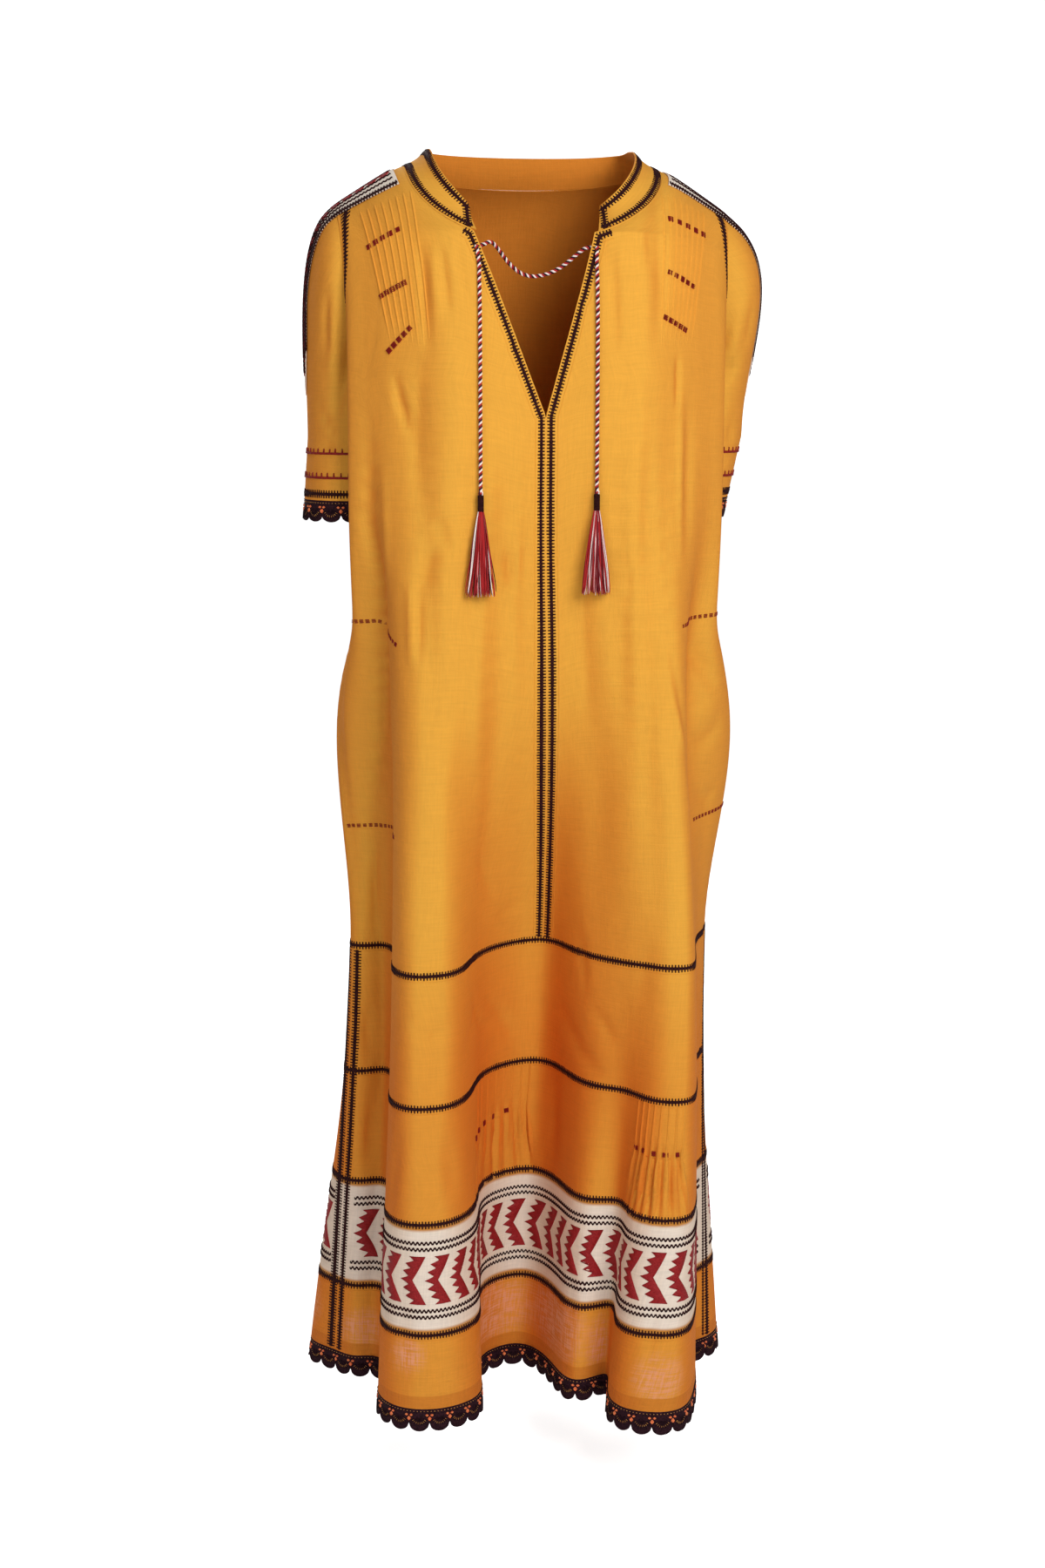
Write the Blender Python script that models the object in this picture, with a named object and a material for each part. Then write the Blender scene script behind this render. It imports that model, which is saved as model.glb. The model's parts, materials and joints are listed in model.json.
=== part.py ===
"""Linen midi dress with a trimmed collar, short sleeves, a banded hem and a tasselled tie.

Metres, +Z up. The dress keeps the hollow form that it has when it is worn. The front faces -Y, and
+X is on the right of someone who looks at the front. The origin is on the shoulders, at the height
where the collar meets the shoulder seam, which is where a wearer holds the dress up.
"""
import math

import bpy
import numpy as np

CLOTH = 0.0015
TRIM = 0.0012
LACE = 0.0012
HALF_SEAM = 0.00015
LAY_GAP = 0.0003

# Heights of the seams, from the chest down to the lace
CHEST = -0.25
BAND_ONE = -0.815
BAND_TWO = -0.956
BAND_THREE = -1.081
BAND_FOUR = -1.202
HEM = -1.2835
LACE_DEPTH = 0.025

# Heights at which the table of folds gives the plan of the cloth
LEVELS = np.array([CHEST, -0.36, -0.50, BAND_ONE, HEM])

# One row for each fold line, from the left side seam along the front to the right side seam and
# round the back. Columns: name, then x and y at the chest, cuff, hip, knee and hem.
FOLDS = (
    ("seam_left", -.118, .020, -.120, .024, -.184, .030, -.190, .022, -.216, .024),
    ("side_left", -.156, -.032, -.158, -.030, -.193, .006, -.178, .016, -.196, .006),
    ("crest_left", -.193, -.054, -.193, -.046, -.186, -.016, -.160, .016, -.176, .002),
    ("trough_left", -.178, -.071, -.174, -.066, -.160, -.036, -.149, -.006, -.165, -.012),
    ("edge_left", -.158, -.090, -.156, -.092, -.153, -.086, -.157, -.080, -.178, -.080),
    ("lobe_left_side", -.128, -.111, -.130, -.113, -.132, -.113, -.142, -.116, -.160, -.124),
    ("lobe_left", -.092, -.128, -.094, -.126, -.100, -.121, -.110, -.118, -.116, -.135),
    ("lobe_left_end", -.062, -.126, -.064, -.122, -.072, -.112, -.074, -.066, -.074, -.110),
    ("valley_left", -.030, -.118, -.030, -.112, -.034, -.097, -.034, -.006, -.052, -.010),
    ("centre_front", -.002, -.113, -.001, -.105, .004, -.088, .017, .012, -.014, .009),
    ("valley_right", .030, -.118, .031, -.112, .038, -.096, .046, -.044, .018, -.044),
    ("middle", .056, -.125, .057, -.121, .062, -.107, .068, -.078, .042, -.092),
    ("trough_middle", .080, -.130, .080, -.127, .084, -.115, .090, -.100, .070, -.082),
    ("lobe_right_end", .100, -.126, .100, -.125, .104, -.121, .110, -.117, .066, -.128),
    ("lobe_right", .120, -.115, .120, -.117, .124, -.123, .128, -.128, .080, -.168),
    ("corner_right", .140, -.102, .138, -.105, .140, -.112, .147, -.128, .128, -.178),
    ("edge_right", .158, -.088, .156, -.089, .150, -.084, .160, -.104, .158, -.132),
    ("trough_right", .178, -.071, .175, -.066, .162, -.048, .172, -.052, .172, -.074),
    ("crest_right", .194, -.054, .194, -.050, .192, -.036, .188, .000, .180, -.024),
    ("side_right", .156, -.032, .158, -.030, .206, -.014, .200, .024, .190, -.014),
    ("seam_right", .118, .020, .120, .024, .206, .018, .207, .050, .200, -.008),
    ("back_side_right", .120, .062, .121, .064, .202, .052, .206, .078, .219, .014),
    ("back_edge_right", .142, .098, .144, .099, .198, .086, .196, .102, .222, .062),
    ("back_crest_right", .172, .115, .173, .115, .180, .112, .172, .120, .196, .116),
    ("back_lobe_right", .136, .133, .138, .132, .140, .126, .138, .118, .150, .138),
    ("back_trough_right", .095, .129, .096, .127, .098, .116, .100, .090, .100, .092),
    ("back_valley_right", .050, .120, .050, .120, .052, .120, .056, .098, .058, .080),
    ("centre_back", .000, .117, .000, .120, .002, .128, .006, .136, .018, .148),
    ("back_lobe_left", -.050, .120, -.050, .121, -.050, .124, -.044, .128, -.038, .146),
    ("back_trough_left", -.095, .129, -.095, .127, -.096, .114, -.086, .090, -.078, .086),
    ("back_valley_left", -.136, .133, -.136, .132, -.134, .124, -.122, .090, -.116, .082),
    ("back_crest_left", -.172, .115, -.171, .115, -.168, .108, -.154, .110, -.156, .130),
    ("back_edge_left", -.142, .098, -.144, .099, -.184, .080, -.178, .084, -.212, .110),
    ("back_side_left", -.120, .062, -.121, .064, -.188, .054, -.187, .050, -.240, .056),
)
FOLD_NAMES = [row[0] for row in FOLDS]
LEFT_SEAM = FOLD_NAMES.index("seam_left")
FRONT = FOLD_NAMES.index("centre_front")
RIGHT_SEAM = FOLD_NAMES.index("seam_right")
BACK = FOLD_NAMES.index("centre_back")
ROUND = len(FOLDS)

# Yoke: from the chest up to the shoulder line
SHOULDER_Y = 0.010
YOKE_POWER = 4.5
YOKE_DEPTH = 0.12
SHOULDER_SLOPE = 0.64
NECK_HALF = 0.130
SLOPE_SOFTNESS = 0.012
SHOULDER_HALF = 0.200
ARMHOLE_START = 0.15
ARMHOLE_POWER = 3.6
ARMHOLE_FOLDS_FRONT = 1.95
ARMHOLE_FOLDS_BACK = 3.2

# Rows of the fronts and the back: heights below the chest, and rises above it, and their columns
BODY_HEIGHTS = (BAND_ONE, -0.71, -0.60, -0.50, -0.425, -0.36, -0.305)
YOKE_RISES = (0.0, 0.19, 0.24, 0.31, 0.44, 0.58, 0.79, 0.85, 0.90, 0.945)

FRONT_COLUMNS = {"below": 17, "above": 11}
BACK_COLUMNS = 25
SKIRT_COLUMNS = {"front": 41, "back": 22}

# Extra columns of the fronts beside the armhole, counted in columns from it
SIDE_STEPS = np.array([0.5, 1.5])

# Where a neck edge is looked for: folds from a side seam on the front, on the back and under the
# shoulder bands, and folds past the centre of the front
FROM_SEAM = 3.2
BACK_FROM_SEAM = 4
BAND_FROM_SEAM = 3
PAST_CENTRE = 0.6

# How finely curves are read, and how far apart an outward direction is measured
PROFILE_STEPS = 1200
PROFILE_CROWDING = 1.6
SEARCH_STEPS = 900
SPREAD_STEPS = 240
HEM_STEPS = 800
ROUTE_STEPS = 24
PROBE_WAY = 0.0008
PROBE_PLACE = 0.02
PROBE_LOW_END = 0.0030
PROBE_HIGH_END = 0.0005

# Neck seam and the slit below it
NECK_DROP_FRONT = 0.080
NECK_DROP_BACK = 0.020
NECK_LEAN = -0.011
SLIT_FOOT = -0.248
SLIT_TOP = -0.0707
SLIT_SPREAD = 0.341
SLIT_LEAN = -0.062

# Collar band, measured from the neck seam: inwards, back and up, at the shoulder and at its ends
COLLAR_WALL = 0.0018
COLLAR_RISE_SIDE = 0.018
COLLAR_RISE_END = 0.026
COLLAR_IN_SIDE = 0.026
COLLAR_OUT_END = 0.0055
COLLAR_BACK_END = 0.022
COLLAR_RISE_BACK = 0.032
COLLAR_IN_BACK = 0.012
COLLAR_START = 0.0019
COLLAR_BOW = 0.002
NECK_TURNS = 13

# Sleeves, one row for each side. Columns: side, then the centre, half width and half depth of the
# oval at the elbow and at the cuff, and how far the top bulges outwards.
ELBOW = -0.27
CUFF = -0.335
CUFF_LACE_DEPTH = 0.022
CUFF_FLARE = 0.05
SLEEVES = {
    "left": {"side": -1, "elbow": (.1790, .039), "cuff": (.1825, .040), "wide": (.049, .050), "bulge": .048},
    "right": {"side": 1, "elbow": (.1850, .039), "cuff": (.1765, .040), "wide": (.050, .044), "bulge": .090},
}
SLEEVE_DEEP = (.056, .058)
SLEEVE_START = 0.0012
SLEEVE_LIFT = 0.0040
SLEEVE_LIFT_TOP = 0.85
SLEEVE_LIFT_POWER = 0.7

# Way in which a sleeve leaves the armhole: outwards and down at the underarm and what the top adds
SLEEVE_OUT = (0.25, 0.60)
SLEEVE_DOWN = (0.95, -0.40)
SLEEVE_ROUND = 0.55
SLEEVE_REACH = 0.022
SLEEVE_RISE = (0.030, 0.060)
SLEEVE_DROPS = (0.0, 0.12, 0.28, 0.46, 0.66, 0.84, 1.0, 1.5, 2.0)

# Shoulder bands: half of the width in steps, and how far they reach down the sleeve
BAND_ACROSS = (0.0, 0.010, 0.020, 0.030)
BAND_STEPS = 11
BAND_COLUMNS = (1, 3, 5, 7, 10)
BAND_SIDE_DROP = 0.66
BAND_POINT_DROP = 0.86
BAND_POINT_SHARE = 0.9
BAND_LIFT = CLOTH / 2 + 1.5 * LAY_GAP + TRIM / 2

# Pin tucks of the yoke: x of the outermost one at the top and at the foot, and the pitch there
TUCKS = 8
YOKE_TUCKS = {
    "left": {"side": -1, "top": .178, "foot": .153, "top_step": .0062, "foot_step": .0046},
    "right": {"side": 1, "top": .170, "foot": .148, "top_step": .0062, "foot_step": .0046},
}
TUCK_TOP = -0.030
TUCK_FOOT = -0.180
TUCK_HEIGHT = 0.0011
TUCK_HALF = 0.0012
TUCK_MARGIN = 0.12

# Tucks below the second band, released as pleats: fold places of the group and its height
SKIRT_TUCKS = ((7.45, 8.85), (12.9, 14.9))
SKIRT_TUCK_FOOT = -1.010
PLEAT_HEIGHT = 0.0022
PLEAT_SPREAD = 0.35
PLEAT_WIDTH = 0.8
PLEAT_MARGIN = 0.1
PLEAT_OPENING = 3

SCALLOP = 0.022
SCALLOP_DROP = 0.010
CUFF_SCALLOP_DROP = 0.008
CORD = 0.0040
CORD_STEP = 0.0104
TASSEL_GRID = 4
TASSEL_HEAD = 0.018
TASSEL_RADIUS = 0.0033
TASSEL_LENGTH = 0.1035
TASSEL_SPREAD = 0.0175
STRAND_FILL = 0.80
TASSEL_FLAT = 0.50
TASSEL_RINGS = ((0.80, 1.0), (1.0, 0.62))
STRAND_STEPS = (0.0, 0.35, 1.0)
STRAND_FAN = 0.8
STRAND_UNEVEN = 0.06
CORD_FOOT = -0.3235
EYELET_HEIGHT = -0.086
EYELETS = {"left": -0.0725, "right": 0.0490}
CORD_SIDE = {"left": -0.0700, "right": 0.0475}
TIE_DEPTH = -0.0965
TIE_LEAVES = 4
TIE_INSIDE = 0.0012
TIE_ON_CLOTH = (-0.100, -0.118, -0.140, -0.165, -0.190, -0.215, -0.240)
TIE_HANGING = (-0.262, -0.284, -0.304, CORD_FOOT)

# Route of the tie across the slit: x and z, from the left eyelet to the right one
TIE_ACROSS = (
    (-.0640, -.0830), (-.0570, -.0795), (-.0490, -.0850), (-.0413, -.0940), (-.0325, -.1035),
    (-.0225, -.1102), (-.0125, -.1122), (-.0020, -.1108), (.0087, -.1070), (.0185, -.1012),
    (.0273, -.0940), (.0345, -.0880), (.0410, -.0845),
)

COLOURS = {
    "linen": ((0.76, 0.36, 0.055), 0.85),
    "ecru": ((0.73, 0.63, 0.52), 0.85),
    "lace": ((0.035, 0.018, 0.022), 0.80),
    "cord": ((0.38, 0.06, 0.07), 0.70),
}


def fold_table():
    """Give the plan points as an array of levels, folds and (x, y)."""
    numbers = np.array([row[1:] for row in FOLDS], dtype=float)
    return numbers.reshape(len(FOLDS), len(LEVELS), 2).transpose(1, 0, 2)


PLAN = fold_table()


def plan_slopes():
    """Give each fold line's slope against height at each level, upright at the chest."""
    rise = np.diff(LEVELS)[:, None, None]
    steps = np.diff(PLAN, axis=0) / rise
    slopes = np.zeros_like(PLAN)
    slopes[1:-1] = (steps[:-1] * rise[1:] + steps[1:] * rise[:-1]) / (rise[1:] + rise[:-1])
    slopes[-1] = steps[-1]
    return slopes


SLOPES = plan_slopes()


def fold_points(height):
    """Give every fold line's (x, y) at one height, at or below the chest."""
    if height <= LEVELS[-1]:
        return PLAN[-1] + SLOPES[-1] * (height - LEVELS[-1])
    upper = int(np.clip(np.searchsorted(-LEVELS, -height, side="right") - 1, 0, len(LEVELS) - 2))
    span = LEVELS[upper + 1] - LEVELS[upper]
    part = (height - LEVELS[upper]) / span
    start = PLAN[upper] * (1 + 2 * part) * (1 - part) ** 2
    end = PLAN[upper + 1] * part ** 2 * (3 - 2 * part)
    lean = SLOPES[upper] * span * part * (1 - part) ** 2 + SLOPES[upper + 1] * span * part ** 2 * (part - 1)
    return start + end + lean


def closed_spline(points):
    """Give the points, chords and bends of the smooth closed curve through the fold lines."""
    ahead = np.roll(points, -1, axis=0)
    chords = np.linalg.norm(ahead - points, axis=1)
    count = len(points)
    matrix = np.zeros((count, count))
    for index in range(count):
        matrix[index, index - 1] = chords[index - 1]
        matrix[index, index] = 2 * (chords[index - 1] + chords[index])
        matrix[index, (index + 1) % count] = chords[index]
    slopes = (ahead - points) / chords[:, None]
    bends = np.linalg.solve(matrix, 6 * (slopes - np.roll(slopes, 1, axis=0)))
    return points, chords, bends


def read_spline(spline, places):
    """Read the closed curve at places counted in fold lines."""
    points, chords, bends = spline
    whole = np.floor(places).astype(int)
    part = (places - whole)[:, None]
    first = whole % len(points)
    second = (whole + 1) % len(points)
    rest = 1 - part
    chord = chords[first][:, None]
    bow = ((rest ** 3 - rest) * bends[first] + (part ** 3 - part) * bends[second]) * chord ** 2 / 6
    return rest * points[first] + part * points[second] + bow


CHEST_RING = closed_spline(fold_points(CHEST))


def yoke_profile():
    """Give the rounded way up from the chest to the shoulder line: length, rise and depth kept."""
    turn = np.linspace(0, math.pi / 2, PROFILE_STEPS) ** PROFILE_CROWDING
    turn = turn / (math.pi / 2) ** (PROFILE_CROWDING - 1)
    rise = np.sin(turn) ** (2 / YOKE_POWER)
    keep = np.cos(turn)
    step = np.hypot(np.diff(rise) * -CHEST, np.diff(keep) * YOKE_DEPTH)
    length = np.concatenate([[0.0], np.cumsum(step)])
    return length, rise, keep


PROFILE_LENGTH, PROFILE_RISE, PROFILE_KEEP = yoke_profile()
YOKE_LENGTH = PROFILE_LENGTH[-1]


def way_up(rise):
    """Turn a rise from 0 at the chest to 1 at the shoulder line into a length along the yoke."""
    return np.interp(rise, PROFILE_RISE, PROFILE_LENGTH)


def rise_at(way):
    """Turn a length along the yoke back into its rise."""
    return np.interp(way, PROFILE_LENGTH, PROFILE_RISE)


def spread(places):
    """Give how far each fold line widens from the chest to the shoulder line."""
    widest_front = np.max(np.abs(PLAN[0, :RIGHT_SEAM + 1, 0]))
    widest_back = np.max(np.abs(PLAN[0, RIGHT_SEAM:, 0]))
    is_back = (np.mod(places, ROUND) > RIGHT_SEAM)
    return np.where(is_back, SHOULDER_HALF / widest_back, SHOULDER_HALF / widest_front)


def shoulder_height(across):
    """Give the height of the shoulder line at a distance from the middle."""
    beyond = np.abs(across) - NECK_HALF
    soft = 0.5 * (beyond + np.hypot(beyond, SLOPE_SOFTNESS))
    return SHOULDER_SLOPE * (SLOPE_SOFTNESS / 2 - soft)


def surface(places, way):
    """Give points of the cloth. A way below 0 is a drop under the chest, above 0 a length up the yoke."""
    places = np.atleast_1d(np.asarray(places, dtype=float))
    way = np.asarray(way, dtype=float)
    if way.ndim == 0 and way < 0:
        height = CHEST + float(way)
        plan = read_spline(closed_spline(fold_points(height)), places)
        return np.column_stack([plan, np.full(len(places), height)])
    plan = read_spline(CHEST_RING, places)
    rise = np.interp(way, PROFILE_LENGTH, PROFILE_RISE)
    keep = np.interp(way, PROFILE_LENGTH, PROFILE_KEEP)
    wider = 1 + (spread(places) - 1) * rise ** 3
    across = plan[:, 0] * wider
    deep = SHOULDER_Y + (plan[:, 1] - SHOULDER_Y) * keep
    high = CHEST - CHEST * rise + shoulder_height(across) * rise ** 3
    return np.column_stack([across, deep, high])


def unit(vectors):
    """Scale rows of vectors to length 1."""
    return vectors / np.linalg.norm(vectors, axis=-1, keepdims=True)


def outward(places, way):
    """Give the cloth's outward direction at the same places."""
    places = np.atleast_1d(np.asarray(places, dtype=float))
    way = np.asarray(way, dtype=float)
    low = np.minimum(way - PROBE_WAY, YOKE_LENGTH - PROBE_LOW_END)
    high = np.minimum(way + PROBE_WAY, YOKE_LENGTH - PROBE_HIGH_END)
    if way.ndim == 0 and way < 0:
        high = np.minimum(high, -1e-6)
    around = surface(places + PROBE_PLACE, way) - surface(places - PROBE_PLACE, way)
    up = surface(places, high) - surface(places, low)
    return unit(np.cross(around, up))


def neck_ends(side):
    """Give the two places between which one front's neck edge lies."""
    if side < 0:
        return LEFT_SEAM + FROM_SEAM, FRONT + PAST_CENTRE
    return FRONT - PAST_CENTRE, RIGHT_SEAM - FROM_SEAM


def neck_limit(rise, side):
    """Give x of the slit or neck edge on one side of the front at a rise."""
    height = CHEST - CHEST * rise
    if height <= SLIT_TOP:
        open_by = max(height - SLIT_FOOT, 0.0)
        return -0.002 + SLIT_LEAN * open_by + side * SLIT_SPREAD * open_by
    sine = min(-height / NECK_DROP_FRONT, 1.0)
    return side * NECK_HALF * math.sqrt(1 - sine ** 2) + NECK_LEAN * sine


def place_at(across, rise, first, last):
    """Find the place between two fold lines where the yoke has a given x."""
    places = np.linspace(first, last, SEARCH_STEPS)
    found = surface(places, np.full(len(places), way_up(rise)))[:, 0]
    order = np.argsort(found)
    return float(np.interp(across, found[order], places[order]))


def armhole_place(rise, seam, step):
    """Give the place of the armhole edge at a rise, counted from a side seam."""
    share = np.clip((rise - ARMHOLE_START) / (1 - ARMHOLE_START), 0, 1)
    return seam + step * (1 - (1 - share) ** ARMHOLE_POWER)


BODY_DROPS = [height - CHEST for height in BODY_HEIGHTS]
ARM_WAY = float(way_up(ARMHOLE_START))
SLIT_WAY = float(way_up(1 - SLIT_TOP / CHEST))
YOKE_WAYS = [float(way_up(rise)) for rise in YOKE_RISES]
YOKE_WAYS = sorted(YOKE_WAYS + [ARM_WAY, SLIT_WAY] + [YOKE_LENGTH - across for across in BAND_ACROSS])


def front_span(way, side):
    """Give the inner and outer places of one front at a way."""
    seam = LEFT_SEAM if side < 0 else RIGHT_SEAM
    if way <= 0:
        return FRONT, seam
    rise = float(rise_at(way))
    outer = armhole_place(rise, seam, -side * ARMHOLE_FOLDS_FRONT)
    height = CHEST - CHEST * rise
    if height <= SLIT_FOOT:
        return FRONT, outer
    return place_at(neck_limit(rise, side), rise, *neck_ends(side)), outer


def tuck_x(group, number, height):
    """Give x of one pin tuck at a height."""
    part = np.clip((TUCK_TOP - height) / (TUCK_TOP - TUCK_FOOT), 0, 1)
    top = group["top"] - number * group["top_step"]
    foot = group["foot"] - number * group["foot_step"]
    return group["side"] * (top + (foot - top) * part)


def shift_in(places, points, amount_first, amount_last):
    """Move the first and last place of a row inwards by lengths along the row."""
    lengths = np.concatenate([[0], np.cumsum(np.linalg.norm(np.diff(points, axis=0), axis=1))])
    moved = places.copy()
    moved[0] = np.interp(amount_first, lengths, places)
    moved[-1] = np.interp(lengths[-1] - amount_last, lengths, places)
    return moved


def row_of(places, way, raised=None, gap=HALF_SEAM):
    """Give one row of a wall: places, points, directions and how far its outside is raised."""
    places = shift_in(np.asarray(places, dtype=float), surface(places, way), gap, gap)
    points = surface(places, way)
    lift = np.zeros(len(places)) if raised is None else np.asarray(raised, dtype=float)
    return places, points, outward(places, way), lift


def even_places(inner, outer, way, count):
    """Spread places evenly by length along one row of the cloth."""
    fine = np.linspace(inner, outer, SPREAD_STEPS)
    points = surface(fine, way)
    lengths = np.concatenate([[0], np.cumsum(np.linalg.norm(np.diff(points, axis=0), axis=1))])
    return np.interp(np.linspace(0, lengths[-1], count), lengths, fine)


def front_row(way, side):
    """Give the row of one front at a way, with extra columns where the pin tucks run."""
    inner, outer = front_span(way, side)
    count = FRONT_COLUMNS["below" if way <= 0 else "above"]
    low, high = min(inner, outer), max(inner, outer)
    places = np.linspace(low, high, count)
    if way <= 0:
        return row_of(places, way)
    step = places[1] - places[0]
    near_arm = low + step * SIDE_STEPS if side < 0 else high - step * SIDE_STEPS
    places = np.sort(np.append(places, near_arm))
    rise = float(rise_at(way))
    height = CHEST - CHEST * rise
    if not TUCK_FOOT - 0.004 < height < TUCK_TOP:
        return row_of(places, way)
    group = YOKE_TUCKS["left" if side < 0 else "right"]
    ends = (low + 0.02, FRONT) if side < 0 else (FRONT, high - 0.02)
    extra = []
    lifts = []
    for number in range(TUCKS):
        middle = tuck_x(group, number, height)
        for offset, lift in ((-TUCK_HALF, 0.0), (0.0, TUCK_HEIGHT), (TUCK_HALF, 0.0)):
            extra.append(place_at(middle + offset, rise, *ends))
            lifts.append(lift)
    first, last = min(extra), max(extra)
    kept = [place for place in places if place < first - TUCK_MARGIN or place > last + TUCK_MARGIN]
    joined = np.array(kept + extra)
    raised = np.array([0.0] * len(kept) + lifts)
    order = np.argsort(joined)
    return row_of(joined[order], way, raised[order])


def zip_rows(lower, lower_places, upper, upper_places):
    """Join two rows of vertex numbers whose places differ with triangles."""
    faces = []
    i = j = 0
    while i < len(lower) - 1 or j < len(upper) - 1:
        next_low = lower_places[i + 1] if i < len(lower) - 1 else math.inf
        next_up = upper_places[j + 1] if j < len(upper) - 1 else math.inf
        if next_low <= next_up:
            faces.append((lower[i], lower[i + 1], upper[j]))
            i += 1
        else:
            faces.append((lower[i], upper[j + 1], upper[j]))
            j += 1
    return faces


def wall_mesh(rows, thickness, closed=False):
    """Make vertices and faces of a wall over rows of the cloth, open at its edges or closed round."""
    vertices = []
    outer_rows = []
    inner_rows = []
    for side, store in ((1, outer_rows), (-1, inner_rows)):
        for places, points, directions, lift in rows:
            reach = thickness / 2 + (lift if side > 0 else 0.0)
            layer = points + side * directions * np.reshape(reach * np.ones(len(points)), (-1, 1))
            store.append(list(range(len(vertices), len(vertices) + len(layer))))
            vertices.extend(layer.tolist())
    faces = []
    for number in range(len(rows) - 1):
        out_low, out_up = outer_rows[number], outer_rows[number + 1]
        in_low, in_up = inner_rows[number], inner_rows[number + 1]
        if closed:
            count = len(out_low)
            for column in range(count):
                after = (column + 1) % count
                faces.append((out_low[column], out_low[after], out_up[after], out_up[column]))
                faces.append((in_low[column], in_up[column], in_up[after], in_low[after]))
            continue
        low, up = rows[number][0], rows[number + 1][0]
        faces.extend(zip_rows(out_low, low, out_up, up))
        faces.extend(face[::-1] for face in zip_rows(in_low, low, in_up, up))
        for column in (0, -1):
            strip = (out_low[column], out_up[column], in_up[column], in_low[column])
            faces.append(strip if column == 0 else strip[::-1])
    for outer, inner, turn in ((outer_rows[0], inner_rows[0], -1), (outer_rows[-1], inner_rows[-1], 1)):
        last = len(outer) if closed else len(outer) - 1
        for column in range(last):
            after = (column + 1) % len(outer)
            strip = (outer[column], outer[after], inner[after], inner[column])
            faces.append(strip[::turn])
    return vertices, faces


def material(name):
    """Make or find one plain material of the dress."""
    found = bpy.data.materials.get(name)
    if found:
        return found
    colour, roughness = COLOURS[name]
    made = bpy.data.materials.new(name)
    made.use_nodes = True
    shader = made.node_tree.nodes["Principled BSDF"]
    shader.inputs["Base Color"].default_value = (*colour, 1.0)
    shader.inputs["Roughness"].default_value = roughness
    shader.inputs["Metallic"].default_value = 0.0
    return made


def volume_of(vertices, faces):
    """Give the signed volume inside the faces, which is above 0 where they point outwards."""
    points = np.array(vertices)
    total = 0.0
    for face in faces:
        for second, third in zip(face[1:-1], face[2:]):
            total += np.dot(points[face[0]], np.cross(points[second], points[third]))
    return total / 6


def add_mesh(name, vertices, faces, finish):
    """Add one closed solid with its faces pointing outwards."""
    if volume_of(vertices, faces) < 0:
        faces = [tuple(face[::-1]) for face in faces]
    mesh = bpy.data.meshes.new(name)
    mesh.from_pydata(vertices, [], faces)
    mesh.update()
    mesh.shade_smooth()
    mesh.set_sharp_from_angle(angle=math.radians(40))
    made = bpy.data.objects.new(name, mesh)
    made.data.materials.append(material(finish))
    bpy.context.scene.collection.objects.link(made)
    return made


def add_wall(name, rows, thickness, finish, closed=False):
    """Add a cloth wall over rows of points."""
    vertices, faces = wall_mesh(rows, thickness, closed)
    return add_mesh(name, vertices, faces, finish)


def nudge(ways, first, last):
    """Move the first and last way of a piece inwards by half a seam gap."""
    ways = list(ways)
    ways[0] += first
    ways[-1] -= last
    return ways


def build_fronts():
    """Make the two fronts, from the shoulder line down to the first band."""
    ways = nudge(BODY_DROPS + YOKE_WAYS, HALF_SEAM, HALF_SEAM)
    for name, side in (("front_left", -1), ("front_right", 1)):
        add_wall(name, [front_row(way, side) for way in ways], CLOTH, "linen")


def back_top(places):
    """Give the way of the back's upper edge: the shoulder line, lowered along the neck seam."""
    tops = surface(places, np.full(len(places), YOKE_LENGTH))
    sine = np.sqrt(np.clip(1 - (tops[:, 0] / NECK_HALF) ** 2, 0, 1))
    return way_up(1 - NECK_DROP_BACK * sine / -CHEST)


BACK_NECK = (RIGHT_SEAM + BACK_FROM_SEAM, ROUND - BACK_FROM_SEAM)


def back_neck_places():
    """Give the places and turns along the back neck seam, from the right shoulder to the left one."""
    found = []
    for turn in np.linspace(0, math.pi, NECK_TURNS)[1:-1]:
        rise = 1 - NECK_DROP_BACK * math.sin(turn) / -CHEST
        found.append((place_at(NECK_HALF * math.cos(turn), rise, *BACK_NECK), turn))
    return found


def back_rows():
    """Give the rows of the back, which bend down under the neck seam near the top."""
    rows = []
    for way in nudge(BODY_DROPS + YOKE_WAYS, HALF_SEAM, HALF_SEAM):
        rise = float(rise_at(way)) if way > 0 else 0.0
        first = RIGHT_SEAM if way <= 0 else armhole_place(rise, RIGHT_SEAM, ARMHOLE_FOLDS_BACK)
        last = ROUND if way <= 0 else armhole_place(rise, ROUND, -ARMHOLE_FOLDS_BACK)
        places = np.linspace(first, last, BACK_COLUMNS)
        if way <= 0:
            rows.append(row_of(places, way))
            continue
        if way > YOKE_LENGTH - BAND_ACROSS[-1] - HALF_SEAM:
            neck = [place for place, turn in back_neck_places()]
            beside = [place for place in places
                      if place < neck[0] - TUCK_MARGIN or place > neck[-1] + TUCK_MARGIN]
            places = np.array(sorted(beside + neck))
        full = (way / YOKE_LENGTH) ** 3
        ways = way + full * (back_top(places) - YOKE_LENGTH)
        rows.append(row_of(places, ways))
    return rows


def build_back():
    """Make the back in one piece, from the shoulder line down to the first band."""
    add_wall("back", back_rows(), CLOTH, "linen")


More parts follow.
